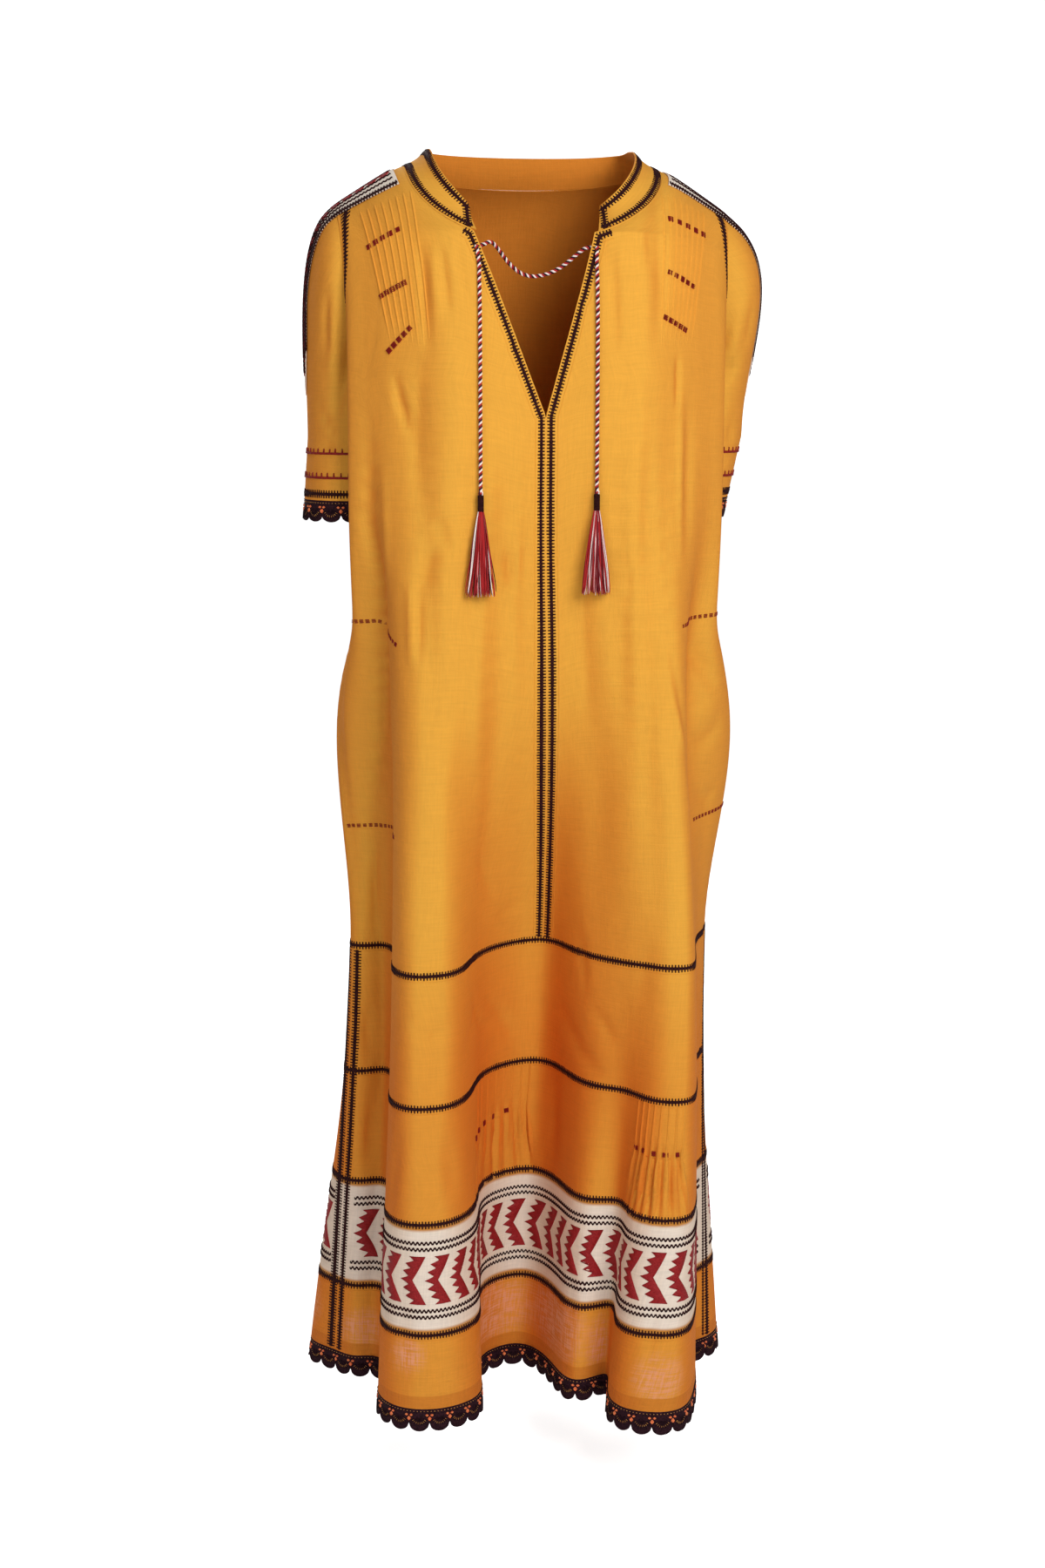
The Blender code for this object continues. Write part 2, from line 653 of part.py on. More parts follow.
def skirt_columns(first, last, height):
    """Give the places of a skirt row, with extra columns for tucks and pleats on the front."""
    places = list(np.linspace(first, last, SKIRT_COLUMNS["front" if first == LEFT_SEAM else "back"]))
    lifts = [0.0] * len(places)
    if first != LEFT_SEAM or not BAND_THREE - 0.001 < height < BAND_TWO + 0.001:
        return np.array(places), np.array(lifts)
    for start, end in SKIRT_TUCKS:
        fan = 0.0
        if height < SKIRT_TUCK_FOOT:
            fan = (SKIRT_TUCK_FOOT - height) / (SKIRT_TUCK_FOOT - BAND_THREE)
        tall = TUCK_HEIGHT + (PLEAT_HEIGHT - TUCK_HEIGHT) * min(fan * PLEAT_OPENING, 1.0) * (1 - fan)
        middles = np.linspace(start, end, TUCKS)
        middle = (start + end) / 2
        middles = middle + (middles - middle) * (1 + PLEAT_SPREAD * fan)
        half = (middles[1] - middles[0]) / 2 * PLEAT_WIDTH
        low, high = middles[0] - half - PLEAT_MARGIN, middles[-1] + half + PLEAT_MARGIN
        kept = [(place, lift) for place, lift in zip(places, lifts) if place < low or place > high]
        for tuck in middles:
            kept.extend([(tuck - half, 0.0), (tuck, tall), (tuck + half, 0.0)])
        kept.sort()
        places = [place for place, lift in kept]
        lifts = [lift for place, lift in kept]
    return np.array(places), np.array(lifts)


def build_tiers():
    """Make the bands of the skirt, each with a front and a back piece."""
    tiers = (
        ("tier_upper", BAND_ONE, BAND_TWO, 2, "linen"),
        ("tier_lower", BAND_TWO, BAND_THREE, 4, "linen"),
        ("ecru_band", BAND_THREE, BAND_FOUR, 2, "ecru"),
        ("hem_band", BAND_FOUR, HEM, 2, "linen"),
    )
    for name, top, foot, count, finish in tiers:
        for half, first, last in (("front", LEFT_SEAM, RIGHT_SEAM), ("back", RIGHT_SEAM, ROUND)):
            rows = []
            for height in np.linspace(foot + HALF_SEAM, top - HALF_SEAM, count):
                places, lifts = skirt_columns(first, last, height)
                rows.append(row_of(places, height - CHEST, lifts))
            add_wall(f"{name}_{half}", rows, CLOTH, finish)


def build_hem_lace():
    """Make the scalloped lace along the hem, front and back."""
    top = HEM - HALF_SEAM - CHEST
    for half, first, last in (("front", LEFT_SEAM, RIGHT_SEAM), ("back", RIGHT_SEAM, ROUND)):
        fine = surface(np.linspace(first, last, HEM_STEPS), top)
        length = np.sum(np.linalg.norm(np.diff(fine, axis=0), axis=1))
        count = round(length / SCALLOP)
        places = even_places(first, last, top, count * 2 + 1)
        upper = row_of(places, top)
        lowest = surface(upper[0], top - LACE_DEPTH)
        parts = np.arange(len(places)) % 2
        shares = 1 - SCALLOP_DROP / LACE_DEPTH * (1 - parts)
        points = upper[1] + (lowest - upper[1]) * shares[:, None]
        lower = (upper[0], points, outward(upper[0], top - LACE_DEPTH), upper[3])
        add_wall(f"hem_lace_{half}", [lower, upper], LACE, "lace")


def neck_points():
    """Give the neck seam from the left front end round the back to the right one, with its shares."""
    seams = []
    ways = [way for way in YOKE_WAYS if way >= SLIT_WAY]
    for side, order in ((-1, ways), (1, ways[::-1])):
        for way in order:
            rise = float(rise_at(way))
            sine = min((1 - rise) * -CHEST / NECK_DROP_FRONT, 1.0)
            turn = math.asin(sine)
            place = place_at(neck_limit(rise, side), rise, *neck_ends(side))
            seams.append((surface([place], way)[0], side, turn, "front"))
        if side < 0:
            for place, turn in back_neck_places()[::-1]:
                rise = 1 - NECK_DROP_BACK * math.sin(turn) / -CHEST
                seams.append((surface([place], way_up(rise))[0], 0, turn, "back"))
    return seams


def collar_reach(side, turn, where):
    """Give the collar's way from the neck seam to its top edge at one point of the neck."""
    if where == "back":
        middle = math.sin(turn)
        inwards = -math.cos(turn) * COLLAR_IN_SIDE
        rise = COLLAR_RISE_SIDE + (COLLAR_RISE_BACK - COLLAR_RISE_SIDE) * middle
        return np.array([inwards, -COLLAR_IN_BACK * middle, rise])
    share = turn / math.asin(-SLIT_TOP / NECK_DROP_FRONT)
    inwards = COLLAR_IN_SIDE * (1 - share ** 3) - COLLAR_OUT_END * share ** 3
    rise = COLLAR_RISE_SIDE + (COLLAR_RISE_END - COLLAR_RISE_SIDE) * share
    return np.array([-side * inwards, COLLAR_BACK_END * share, rise])


def build_collar():
    """Make the collar band, which stands up from the neck seam and leans in."""
    feet = []
    tops = []
    for point, side, turn, where in neck_points():
        reach = collar_reach(side, turn, where)
        feet.append(point + unit(reach) * COLLAR_START)
        tops.append(point + reach)
    feet = np.array(feet)
    tops = np.array(tops)
    along = np.gradient(feet, axis=0)
    directions = unit(np.cross(along, tops - feet))
    places = np.arange(len(feet), dtype=float)
    lift = np.zeros(len(feet))
    rows = []
    for share in (0.0, 0.5, 1.0):
        bow = COLLAR_BOW * math.sin(math.pi * share)
        points = feet + (tops - feet) * share + directions * bow
        rows.append((places, points, directions, lift))
    add_wall("collar", rows, COLLAR_WALL, "linen")


def armhole_ring(side):
    """Give the armhole from the shoulder down the front to the underarm and up the back."""
    ways = [way for way in YOKE_WAYS if way >= ARM_WAY - 1e-9]
    front_seam = RIGHT_SEAM if side > 0 else LEFT_SEAM
    back_seam = RIGHT_SEAM if side > 0 else ROUND
    ring = []
    for way in ways[::-1]:
        rise = float(rise_at(way))
        place = armhole_place(rise, front_seam, -side * ARMHOLE_FOLDS_FRONT)
        ring.append((surface([place], way)[0], outward([place], way)[0]))
    for way in ways[1:-1]:
        rise = float(rise_at(way))
        place = armhole_place(rise, back_seam, side * ARMHOLE_FOLDS_BACK)
        ring.append((surface([place], way)[0], outward([place], way)[0]))
    return ring


def sleeve_rows(side_name, drops):
    """Give the rows of a sleeve from the armhole (0) to the elbow oval (1) and the cuff (2)."""
    size = SLEEVES[side_name]
    side = size["side"]
    ring = armhole_ring(side)
    edge = np.array([point for point, direction in ring])
    faces_out = np.array([direction for point, direction in ring])
    steps = np.linalg.norm(np.roll(edge, -1, axis=0) - edge, axis=1)
    ways = np.concatenate([[0], np.cumsum(steps)])
    lowest = int(np.argmin(edge[:, 2]))
    turns = np.empty(len(edge))
    turns[:lowest + 1] = ways[:lowest + 1] / ways[lowest] * math.pi
    turns[lowest:] = math.pi + (ways[lowest:-1] - ways[lowest]) / (ways[-1] - ways[lowest]) * math.pi
    cosine = np.cos(turns)
    sine = np.sin(turns)
    top = (1 + cosine) / 2
    start = unit(np.column_stack([
        side * (SLEEVE_OUT[0] + SLEEVE_OUT[1] * top),
        SLEEVE_ROUND * sine * (1 - top),
        -(SLEEVE_DOWN[0] + SLEEVE_DOWN[1] * top),
    ]))
    lifted = SLEEVE_LIFT * np.clip(1 - top / SLEEVE_LIFT_TOP, 0, 1) ** SLEEVE_LIFT_POWER
    base = edge + start * SLEEVE_START + faces_out * lifted[:, None]
    rings = []
    for (centre, deep_y), wide, deep, height in (
            (size["elbow"], size["wide"][0], SLEEVE_DEEP[0], ELBOW),
            (size["cuff"], size["wide"][1], SLEEVE_DEEP[1], CUFF)):
        across = side * (centre + wide * cosine)
        rings.append(np.column_stack([across, deep_y - deep * sine, np.full(len(edge), height)]))
    reach = (SLEEVE_REACH + (size["bulge"] - SLEEVE_REACH) * top)[:, None]
    lift = np.array([0.0, 0.0, 1.0]) * (SLEEVE_RISE[0] + SLEEVE_RISE[1] * top)[:, None]
    rows = []
    for drop in drops:
        if drop <= 1:
            rest = 1 - drop
            points = (rest ** 3 * base + 3 * rest ** 2 * drop * (base + start * reach)
                      + 3 * rest * drop ** 2 * (rings[0] + lift) + drop ** 3 * rings[0])
        else:
            points = rings[0] + (rings[1] - rings[0]) * (drop - 1)
        rows.append(points)
    return rows, turns


def ring_directions(points_low, points_high, ring, side):
    """Give outward directions of a closed ring from its neighbours above and below."""
    around = np.roll(ring, -1, axis=0) - np.roll(ring, 1, axis=0)
    return unit(np.cross(points_high - points_low, around)) * side


def build_sleeves():
    """Make the sleeves and the scalloped lace at their cuffs."""
    for side_name, size in SLEEVES.items():
        side = size["side"]
        points, turns = sleeve_rows(side_name, SLEEVE_DROPS)
        places = np.arange(len(turns), dtype=float)
        lift = np.zeros(len(turns))
        rows = []
        for number, ring in enumerate(points):
            above = points[max(number - 1, 0)]
            below = points[min(number + 1, len(points) - 1)]
            directions = ring_directions(below, above, ring, side)
            rows.append((places, ring, directions, lift))
        add_wall(f"sleeve_{side_name}", rows, CLOTH, "linen", closed=True)
        build_cuff_lace(side_name, size)


def build_cuff_lace(side_name, size):
    """Make the lace ring that hangs from one cuff."""
    centre, deep_y = size["cuff"]
    wide = size["wide"][1]
    deep = SLEEVE_DEEP[1]
    around = math.pi * (3 * (wide + deep) - math.sqrt((3 * wide + deep) * (wide + 3 * deep)))
    count = round(around / SCALLOP)
    turns = np.arange(count * 2) / (count * 2) * math.tau
    parts = np.arange(len(turns)) % 2
    rows = []
    for drop in (1, 0):
        depth = (CUFF_LACE_DEPTH - CUFF_SCALLOP_DROP * (1 - parts)) * drop + 2 * HALF_SEAM
        flare = 1 + CUFF_FLARE * drop
        ring = np.column_stack([
            size["side"] * (centre + wide * flare * np.cos(turns)),
            deep_y - deep * flare * np.sin(turns),
            CUFF - depth,
        ])
        directions = np.column_stack([
            size["side"] * np.cos(turns) / wide,
            -np.sin(turns) / deep,
            np.zeros(len(turns)),
        ])
        rows.append((np.arange(len(turns), dtype=float), ring, unit(directions), np.zeros(len(turns))))
    add_wall(f"cuff_lace_{side_name}", rows, LACE, "lace", closed=True)


def sleeve_line(rings, turns, turn):
    """Read one line down a sleeve at a turn from its top, towards the front or, below 0, the back."""
    spot = turn % math.tau
    around = np.append(turns, math.tau)
    line = []
    for ring in rings:
        whole = np.vstack([ring, ring[:1]])
        line.append([np.interp(spot, around, whole[:, axis]) for axis in range(3)])
    return line


def band_line(side_name, number, sign, end_drop):
    """Give one line of a shoulder band, from the collar to its end on the sleeve."""
    side = SLEEVES[side_name]["side"]
    way = YOKE_LENGTH - BAND_ACROSS[number]
    if sign < 0:
        inner, outer = front_span(way, side)
    else:
        rise = float(rise_at(way))
        seam = RIGHT_SEAM if side > 0 else ROUND
        outer = armhole_place(rise, seam, side * ARMHOLE_FOLDS_BACK)
        ends = (RIGHT_SEAM + BAND_FROM_SEAM, BACK) if side > 0 else (BACK, ROUND - BAND_FROM_SEAM)
        inner = place_at(side * NECK_HALF, rise, *ends)
    places = np.linspace(inner, outer, BAND_STEPS)[list(BAND_COLUMNS)]
    line = surface(places, np.full(len(places), way)).tolist()
    drops = [drop for drop in SLEEVE_DROPS if drop < BAND_SIDE_DROP]
    rings, turns = sleeve_rows(side_name, drops + [BAND_SIDE_DROP, end_drop])
    ring_number = number if sign < 0 else len(turns) - number
    return line + sleeve_line(rings, turns, turns[ring_number % len(turns)])


def build_shoulder_bands():
    """Make the bands that lie over the shoulder seams and down the tops of the sleeves."""
    steps = len(BAND_ACROSS) - 1
    for side_name, size in SLEEVES.items():
        lines = []
        for number, sign in [(n, -1) for n in range(steps, 0, -1)] + [(n, 1) for n in range(steps + 1)]:
            share = BAND_POINT_SHARE * number / steps
            end_drop = BAND_POINT_DROP - (BAND_POINT_DROP - BAND_SIDE_DROP) * share
            lines.append(band_line(side_name, number, sign, end_drop))
        grid = np.array(lines)
        along = np.gradient(grid, axis=1)
        across = np.gradient(grid, axis=0)
        directions = unit(np.cross(along, across))
        directions = directions * np.sign(directions[steps, 0, 2])
        laid = grid + directions * BAND_LIFT
        places = np.arange(grid.shape[1], dtype=float)
        rows = [(places, laid[index], directions[index], np.zeros(len(places))) for index in range(len(grid))]
        add_wall(f"shoulder_band_{side_name}", rows, TRIM, "ecru")


def smooth_route(route, spacing):
    """Read points at a spacing from the smooth curve through a cord's route."""
    route = np.array(route, dtype=float)
    padded = np.vstack([2 * route[0] - route[1], route, 2 * route[-1] - route[-2]])
    fine = []
    for index in range(1, len(padded) - 2):
        before, start, end, after = padded[index - 1:index + 3]
        for part in np.linspace(0, 1, ROUTE_STEPS, endpoint=False):
            square = part * part
            cube = square * part
            fine.append(0.5 * (2 * start + (end - before) * part
                               + (2 * before - 5 * start + 4 * end - after) * square
                               + (3 * start - 3 * end + after - before) * cube))
    fine.append(route[-1])
    fine = np.array(fine)
    length = np.concatenate([[0], np.cumsum(np.linalg.norm(np.diff(fine, axis=0), axis=1))])
    count = max(2, round(length[-1] / spacing) + 1)
    wanted = np.linspace(0, length[-1], count)
    return np.column_stack([np.interp(wanted, length, fine[:, axis]) for axis in range(3)])


def add_cord(name, route):
    """Add one stretch of the tie as a round tube with filled ends."""
    points = smooth_route(route, CORD_STEP)
    curve = bpy.data.curves.new(name, "CURVE")
    curve.dimensions = "3D"
    curve.bevel_depth = CORD / 2
    curve.bevel_resolution = 2
    curve.use_fill_caps = True
    spline = curve.splines.new("POLY")
    spline.points.add(len(points) - 1)
    for index, point in enumerate(points):
        spline.points[index].co = (*point, 1.0)
    curve.materials.append(material("cord"))
    made = bpy.data.objects.new(name, curve)
    bpy.context.scene.collection.objects.link(made)


def front_point(across, height):
    """Give a point of the front above the chest and its outward direction, from x and height."""
    rise = 1 - height / CHEST
    place = place_at(across, rise, LEFT_SEAM + FROM_SEAM, RIGHT_SEAM - FROM_SEAM)
    way = float(way_up(rise))
    return surface([place], way)[0], outward([place], way)[0]


def build_tie():
    """Make the tie: a stretch across the slit and two ends that hang down the front."""
    clear = CLOTH / 2 + 2 * LAY_GAP + CORD / 2
    inside = {}
    for side_name, eyelet in EYELETS.items():
        point, direction = front_point(eyelet, EYELET_HEIGHT)
        inside[side_name] = point - direction * (clear + TIE_INSIDE)
        route = [point + direction * clear]
        for height in TIE_ON_CLOTH:
            point, direction = front_point(CORD_SIDE[side_name], height)
            route.append(point + direction * clear)
        furthest = min(point[1] for point in route)
        for number, point in enumerate(route[1:]):
            share = (number + 1) / (len(route) - 1)
            point[0] = CORD_SIDE[side_name]
            point[1] += (furthest - point[1]) * share ** 3
        for height in TIE_HANGING:
            route.append(np.array([CORD_SIDE[side_name], furthest, height]))
        add_cord(f"tie_cord_{side_name}", route)
        build_tassel(side_name, np.array([CORD_SIDE[side_name], furthest, CORD_FOOT - LAY_GAP]))
    middle = []
    for number, (x, z) in enumerate(TIE_ACROSS):
        near = "left" if number < len(TIE_ACROSS) / 2 else "right"
        steps = min(number, len(TIE_ACROSS) - 1 - number) + 1
        loose = min(steps / TIE_LEAVES, 1.0)
        middle.append((x, inside[near][1] + (TIE_DEPTH - inside[near][1]) * loose, z))
    add_cord("tie_cord_across", [inside["left"]] + middle + [inside["right"]])


def build_tassel(side_name, top):
    """Make one tassel: a wrapped head with its strands fused into its underside."""
    count = TASSEL_GRID
    steps = np.linspace(-1, 1, count + 1)
    vertices = []
    faces = []
    grid = {}

    def add(point):
        vertices.append(tuple(float(value) for value in point))
        return len(vertices) - 1

    def on_disc(u, v):
        return u * math.sqrt(1 - v * v / 2), v * math.sqrt(1 - u * u / 2)

    root = top[2] - TASSEL_HEAD
    for i, u in enumerate(steps):
        for j, v in enumerate(steps):
            x, y = on_disc(u, v)
            grid[i, j] = add((top[0] + x * TASSEL_RADIUS, top[1] + y * TASSEL_RADIUS, root))
    rim = ([grid[i, 0] for i in range(count)] + [grid[count, j] for j in range(count)]
           + [grid[i, count] for i in range(count, 0, -1)] + [grid[0, j] for j in range(count, 0, -1)])
    lower = rim
    for share, wide in TASSEL_RINGS:
        ring = []
        for vertex in rim:
            x, y, z = vertices[vertex]
            ring.append(add((top[0] + (x - top[0]) * wide, top[1] + (y - top[1]) * wide,
                             root + TASSEL_HEAD * share)))
        for index in range(len(ring)):
            after = (index + 1) % len(ring)
            faces.append((lower[index], lower[after], ring[after], ring[index]))
        lower = ring
    faces.append(tuple(lower))
    for i in range(count):
        for j in range(count):
            corners = [grid[i, j], grid[i + 1, j], grid[i + 1, j + 1], grid[i, j + 1]]
            middle = np.mean([vertices[corner] for corner in corners], axis=0)
            away = (middle - np.array([top[0], top[1], root])) / TASSEL_RADIUS
            length = (TASSEL_LENGTH - TASSEL_HEAD) * (1 - STRAND_UNEVEN * ((i * 3 + j * 5) % 4) / 3)
            last = corners
            for share in STRAND_STEPS:
                out = (TASSEL_SPREAD - TASSEL_RADIUS) * share ** STRAND_FAN
                shift = np.array([away[0] * out, away[1] * out * TASSEL_FLAT, -length * share])
                ring = []
                for corner in corners:
                    offset = (np.array(vertices[corner]) - middle) * STRAND_FILL
                    ring.append(add(middle + offset + shift))
                for index in range(4):
                    after = (index + 1) % 4
                    faces.append((last[after], last[index], ring[index], ring[after]))
                last = ring
            faces.append(tuple(last[::-1]))
    add_mesh(f"tassel_{side_name}", vertices, faces, "cord")


def main():
    """Build the whole dress."""
    for old in list(bpy.data.objects):
        bpy.data.objects.remove(old, do_unlink=True)
    build_fronts()
    build_back()
    build_tiers()
    build_hem_lace()
    build_collar()
    build_sleeves()
    build_shoulder_bands()
    build_tie()


main()
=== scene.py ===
# %% Load the fixed frame
import json
import math
import bpy
import numpy as np
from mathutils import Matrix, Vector

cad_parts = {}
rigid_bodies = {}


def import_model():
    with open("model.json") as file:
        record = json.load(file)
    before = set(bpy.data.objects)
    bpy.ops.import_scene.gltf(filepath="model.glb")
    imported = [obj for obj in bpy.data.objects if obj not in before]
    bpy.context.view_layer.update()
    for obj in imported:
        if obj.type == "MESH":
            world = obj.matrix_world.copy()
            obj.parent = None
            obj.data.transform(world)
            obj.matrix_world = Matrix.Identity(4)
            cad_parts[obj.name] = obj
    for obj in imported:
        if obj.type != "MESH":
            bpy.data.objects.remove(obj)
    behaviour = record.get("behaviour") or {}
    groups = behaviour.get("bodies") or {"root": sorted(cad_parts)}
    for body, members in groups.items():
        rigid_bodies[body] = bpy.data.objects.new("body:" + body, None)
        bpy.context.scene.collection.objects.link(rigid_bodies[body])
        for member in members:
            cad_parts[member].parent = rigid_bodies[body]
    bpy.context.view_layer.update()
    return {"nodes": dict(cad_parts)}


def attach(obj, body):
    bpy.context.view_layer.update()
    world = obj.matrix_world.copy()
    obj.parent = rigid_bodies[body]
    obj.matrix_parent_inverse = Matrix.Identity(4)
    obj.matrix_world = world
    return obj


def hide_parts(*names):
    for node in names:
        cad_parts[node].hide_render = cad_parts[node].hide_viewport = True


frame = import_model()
print("solids to dress:", len(frame["nodes"]))

# %% [markdown]
# # A worn linen dress, piece by piece
#
# The solids in the frame already have the true shape of the dress as it hangs when worn. This lesson
# puts cloth, stitches, lace and light on them. It starts with the camera, because everything else is
# judged through it. A normal lens at breast height, tipped down a little, gives a plain studio view.

# %% Camera
CAMERA_TURN = math.radians(-9)
CAMERA_PITCH = math.radians(10.5)
CAMERA_AWAY = 2.30
CAMERA_ASIDE = -0.0075
CAMERA_HEIGHT = -0.213
LENS_MM = 50
SENSOR_MM = 36


def placed(name, data):
    """Put a new object into the scene."""
    made = bpy.data.objects.new(name, data)
    bpy.context.scene.collection.objects.link(made)
    return made


forward = Vector((-math.sin(CAMERA_TURN), math.cos(CAMERA_TURN), 0))
rightward = Vector((math.cos(CAMERA_TURN), math.sin(CAMERA_TURN), 0))
stand = rightward * CAMERA_ASIDE - forward * CAMERA_AWAY
look = forward * math.cos(CAMERA_PITCH) - Vector((0, 0, math.sin(CAMERA_PITCH)))
camera = placed("camera", bpy.data.cameras.new("camera"))
camera.location = stand + Vector((0, 0, CAMERA_HEIGHT))
camera.rotation_euler = look.to_track_quat("-Z", "Y").to_euler()
camera.data.lens = LENS_MM
camera.data.sensor_fit = "VERTICAL"
camera.data.sensor_height = SENSOR_MM
bpy.context.scene.camera = camera
print("camera stands at", tuple(round(value, 3) for value in camera.location))

# %% [markdown]
# ## Finishes as small sums
#
# A cloth finish is mostly arithmetic on thread positions. Wiring Math nodes by hand is slow to read,
# so one small class wraps a socket and lets Python's own signs add the nodes. Every other node comes
# from one method that takes its type, its settings and what its sockets get.

# %% Signals and finishes
class Signal:
    """A socket of a finish on which sums can be written."""

    def __init__(self, finish, socket):
        self.finish = finish
        self.socket = socket

    def sum_with(self, operation, first, second):
        return self.finish.node("ShaderNodeMath", {"operation": operation}, {0: first, 1: second})

    def __add__(self, other):
        return self.sum_with("ADD", self, other)

    def __sub__(self, other):
        return self.sum_with("SUBTRACT", self, other)

    def __rsub__(self, other):
        return self.sum_with("SUBTRACT", other, self)

    def __mul__(self, other):
        return self.sum_with("MULTIPLY", self, other)

    def limited(self, low, high):
        """Turn the range from low to high into a soft step from 0 to 1."""
        settings = {"interpolation_type": "SMOOTHSTEP"}
        return self.finish.node("ShaderNodeMapRange", settings, {0: self, 1: low, 2: high})


class Finish:
    """One material, made of nodes."""

    def __init__(self, name, roughness, shine=0.25):
        self.material = bpy.data.materials.new(name)
        self.material.use_nodes = True
        self.tree = self.material.node_tree
        self.shader = self.tree.nodes["Principled BSDF"]
        self.shader.inputs["Roughness"].default_value = roughness
        self.shader.inputs["Specular IOR Level"].default_value = shine

    def node(self, kind, settings, values, output=0):
        made = self.tree.nodes.new(kind)
        for key, value in settings.items():
            setattr(made, key, value)
        for key, value in values.items():
            if isinstance(value, Signal):
                self.tree.links.new(value.socket, made.inputs[key])
            else:
                made.inputs[key].default_value = value
        return Signal(self, made.outputs[output])

    def mixed(self, share, first, second, way="MIX"):
        """Mix two colours by a share."""
        settings = {"data_type": "RGBA", "blend_type": way}
        return self.node("ShaderNodeMix", settings, {0: share, 6: first, 7: second}, 2)

    def painted(self, colour, light=None):
        """Paint the surface, darkened by a light from 0 to 1 where one is given."""
        if light is not None:
            grey = self.node("ShaderNodeCombineColor", {}, {0: light, 1: light, 2: light})
            colour = self.mixed(1.0, colour, grey, "MULTIPLY")
        self.tree.links.new(colour.socket, self.shader.inputs["Base Color"])

    def raised(self, height, distance, strength=1.0):
        """Bump the surface by a height from 0 to 1, of a distance in metres."""
        values = {"Strength": strength, "Distance": distance, "Height": height}
        bump = self.node("ShaderNodeBump", {}, values)
        self.tree.links.new(bump.socket, self.shader.inputs["Normal"])

    def attribute(self, name, output):
        return self.node("ShaderNodeAttribute", {"attribute_name": name}, {}, output)

    def weave(self):
        """Give the two places of a point along the threads, in metres of cloth."""
        place = self.node("ShaderNodeUVMap", {"uv_map": "weave"}, {})
        across = self.node("ShaderNodeSeparateXYZ", {}, {0: place})
        return across, Signal(self, across.socket.node.outputs[1])

    def own_place(self):
        """Give the place of a point on the object itself."""
        return self.node("ShaderNodeTexCoord", {}, {}, 3)

    def noise(self, place, scale, detail, **more):
        """Give noise; a place is one signal or three numbers."""
        if isinstance(place, tuple):
            place = self.node("ShaderNodeCombineXYZ", {}, dict(enumerate(place)))
        values = {"Vector": place, "Scale": scale, "Detail": detail, **more}
        return self.node("ShaderNodeTexNoise", {}, values)


def seen(red, green, blue):
    """Turn a colour as read from a screen, 0 to 255, into the linear one that a shader takes."""
    parts = [value / 255 for value in (red, green, blue)]
    lit = [part / 12.92 if part <= 0.04045 else ((part + 0.055) / 1.055) ** 2.4 for part in parts]
    return (*lit, 1.0)


print("an ochre as linear numbers:", [round(part, 3) for part in seen(226, 156, 52)])

# %% [markdown]
# ## Linen
#
# Linen yarn is spun unevenly: thick places, called slubs, run a few centimetres along a thread. Seen
# from two metres the single threads melt together, and the slubs are what still says linen. So each
# cloth carries a UV map in metres, noise is stretched a great deal along the warp and again along the
# weft, and the two sets of streaks tint the colour a little and lift the surface a hair. The valleys
# of folds are marked on the mesh, and there shade is painted into the colour as a deeper ochre, for the
# light that crosses more cloth there.

# %% Linen finishes
LINEN_ROUGHNESS = 0.86
THREAD = 0.0009
SLUB_WIDE = 620
SLUB_LONG = 38
CRUMPLE = 0.0050
# Columns: dents in each metre across and along the cloth, share of the whole
DENTS = ((22, 6, 0.6), (60, 26, 0.25), (150, 110, 0.08))


def threads(finish):
    """Give the warp streaks, weft streaks and thread height of a woven cloth."""
    across, along = finish.weave()
    streaks = []
    for first, second, seed in ((SLUB_WIDE, SLUB_LONG, 0.0), (SLUB_LONG, SLUB_WIDE, 7.3)):
        streaks.append(finish.noise((across * first, along * second, seed), 1.0, 2.0, Roughness=0.6))
    turn = math.tau / THREAD
    waves = []
    for side in (across, along):
        waves.append(finish.node("ShaderNodeMath", {"operation": "SINE"}, {0: side * turn}))
    return streaks[0], streaks[1], waves[0] * waves[1]


def sheened(finish, tint):
    """Give a finish the soft sheen of fibres."""
    for name, value in (("Weight", 0.25), ("Roughness", 0.5), ("Tint", tint)):
        finish.shader.inputs[f"Sheen {name}"].default_value = value


def crumpled(finish):
    """Give the soft, upright dents that a worn linen keeps."""
    across, along = finish.weave()
    total = None
    for wide, long, share in DENTS:
        noise = finish.noise((across * wide, along * long, share), 1.0, 1.0, Roughness=0.4) * share
        total = noise if total is None else total + noise
    return total


def woven(name, lit, deep, streak):
    """Make a woven finish from its lit colour and its deep colour, the colour of painted shade."""
    finish = Finish(name, LINEN_ROUGHNESS)
    warp, weft, height = threads(finish)
    # painted shade: the colour goes from the lit towards the deep colour by the mesh's shade mark
    body = finish.mixed(finish.attribute("shade_dip", 2), lit, deep)
    finish.painted(body, (warp + weft) * streak + (1 - streak))
    fine = height * 0.02 + warp * 0.06 + weft * 0.06
    finish.raised(crumpled(finish) + fine, CRUMPLE, 0.8)
    sheened(finish, lit)
    return finish


OCHRE = seen(230, 164, 58)
# the colour of painted shade on the ochre linen
OCHRE_SHADED = seen(214, 104, 20)
ECRU = seen(240, 228, 214)
# the colour of painted shade on the ecru linen
ECRU_SHADED = seen(228, 200, 176)
linen = woven("ochre linen", OCHRE, OCHRE_SHADED, 0.16)
print("slubs are about", round(1000 / SLUB_WIDE, 1), "mm wide")

# %% [markdown]
# ## Thin linen at the hem, and ecru linen
#
# The lowest band is one layer of looser linen. Where it hangs free in the valleys, light shines
# through the gaps and shows a pale, pinkish lattice of threads. The hem is turned up by 14 mm, so it
# is double there and darker. The ecru band is the same weave undyed, with a rim of ochre along both
# its seams, where the seam allowance shows through.

# %% Thin and ecru linen
HEM = -1.2835
BAND_THREE = -1.081
BAND_FOUR = -1.202
TURN_UP = 0.014
LATTICE = 0.0018
LATTICE_LONG = 45
RIM = 0.0045


def height_of(finish):
    """Give the height of a point of the object itself."""
    return finish.node("ShaderNodeSeparateXYZ", {}, {0: finish.own_place()}, 2)


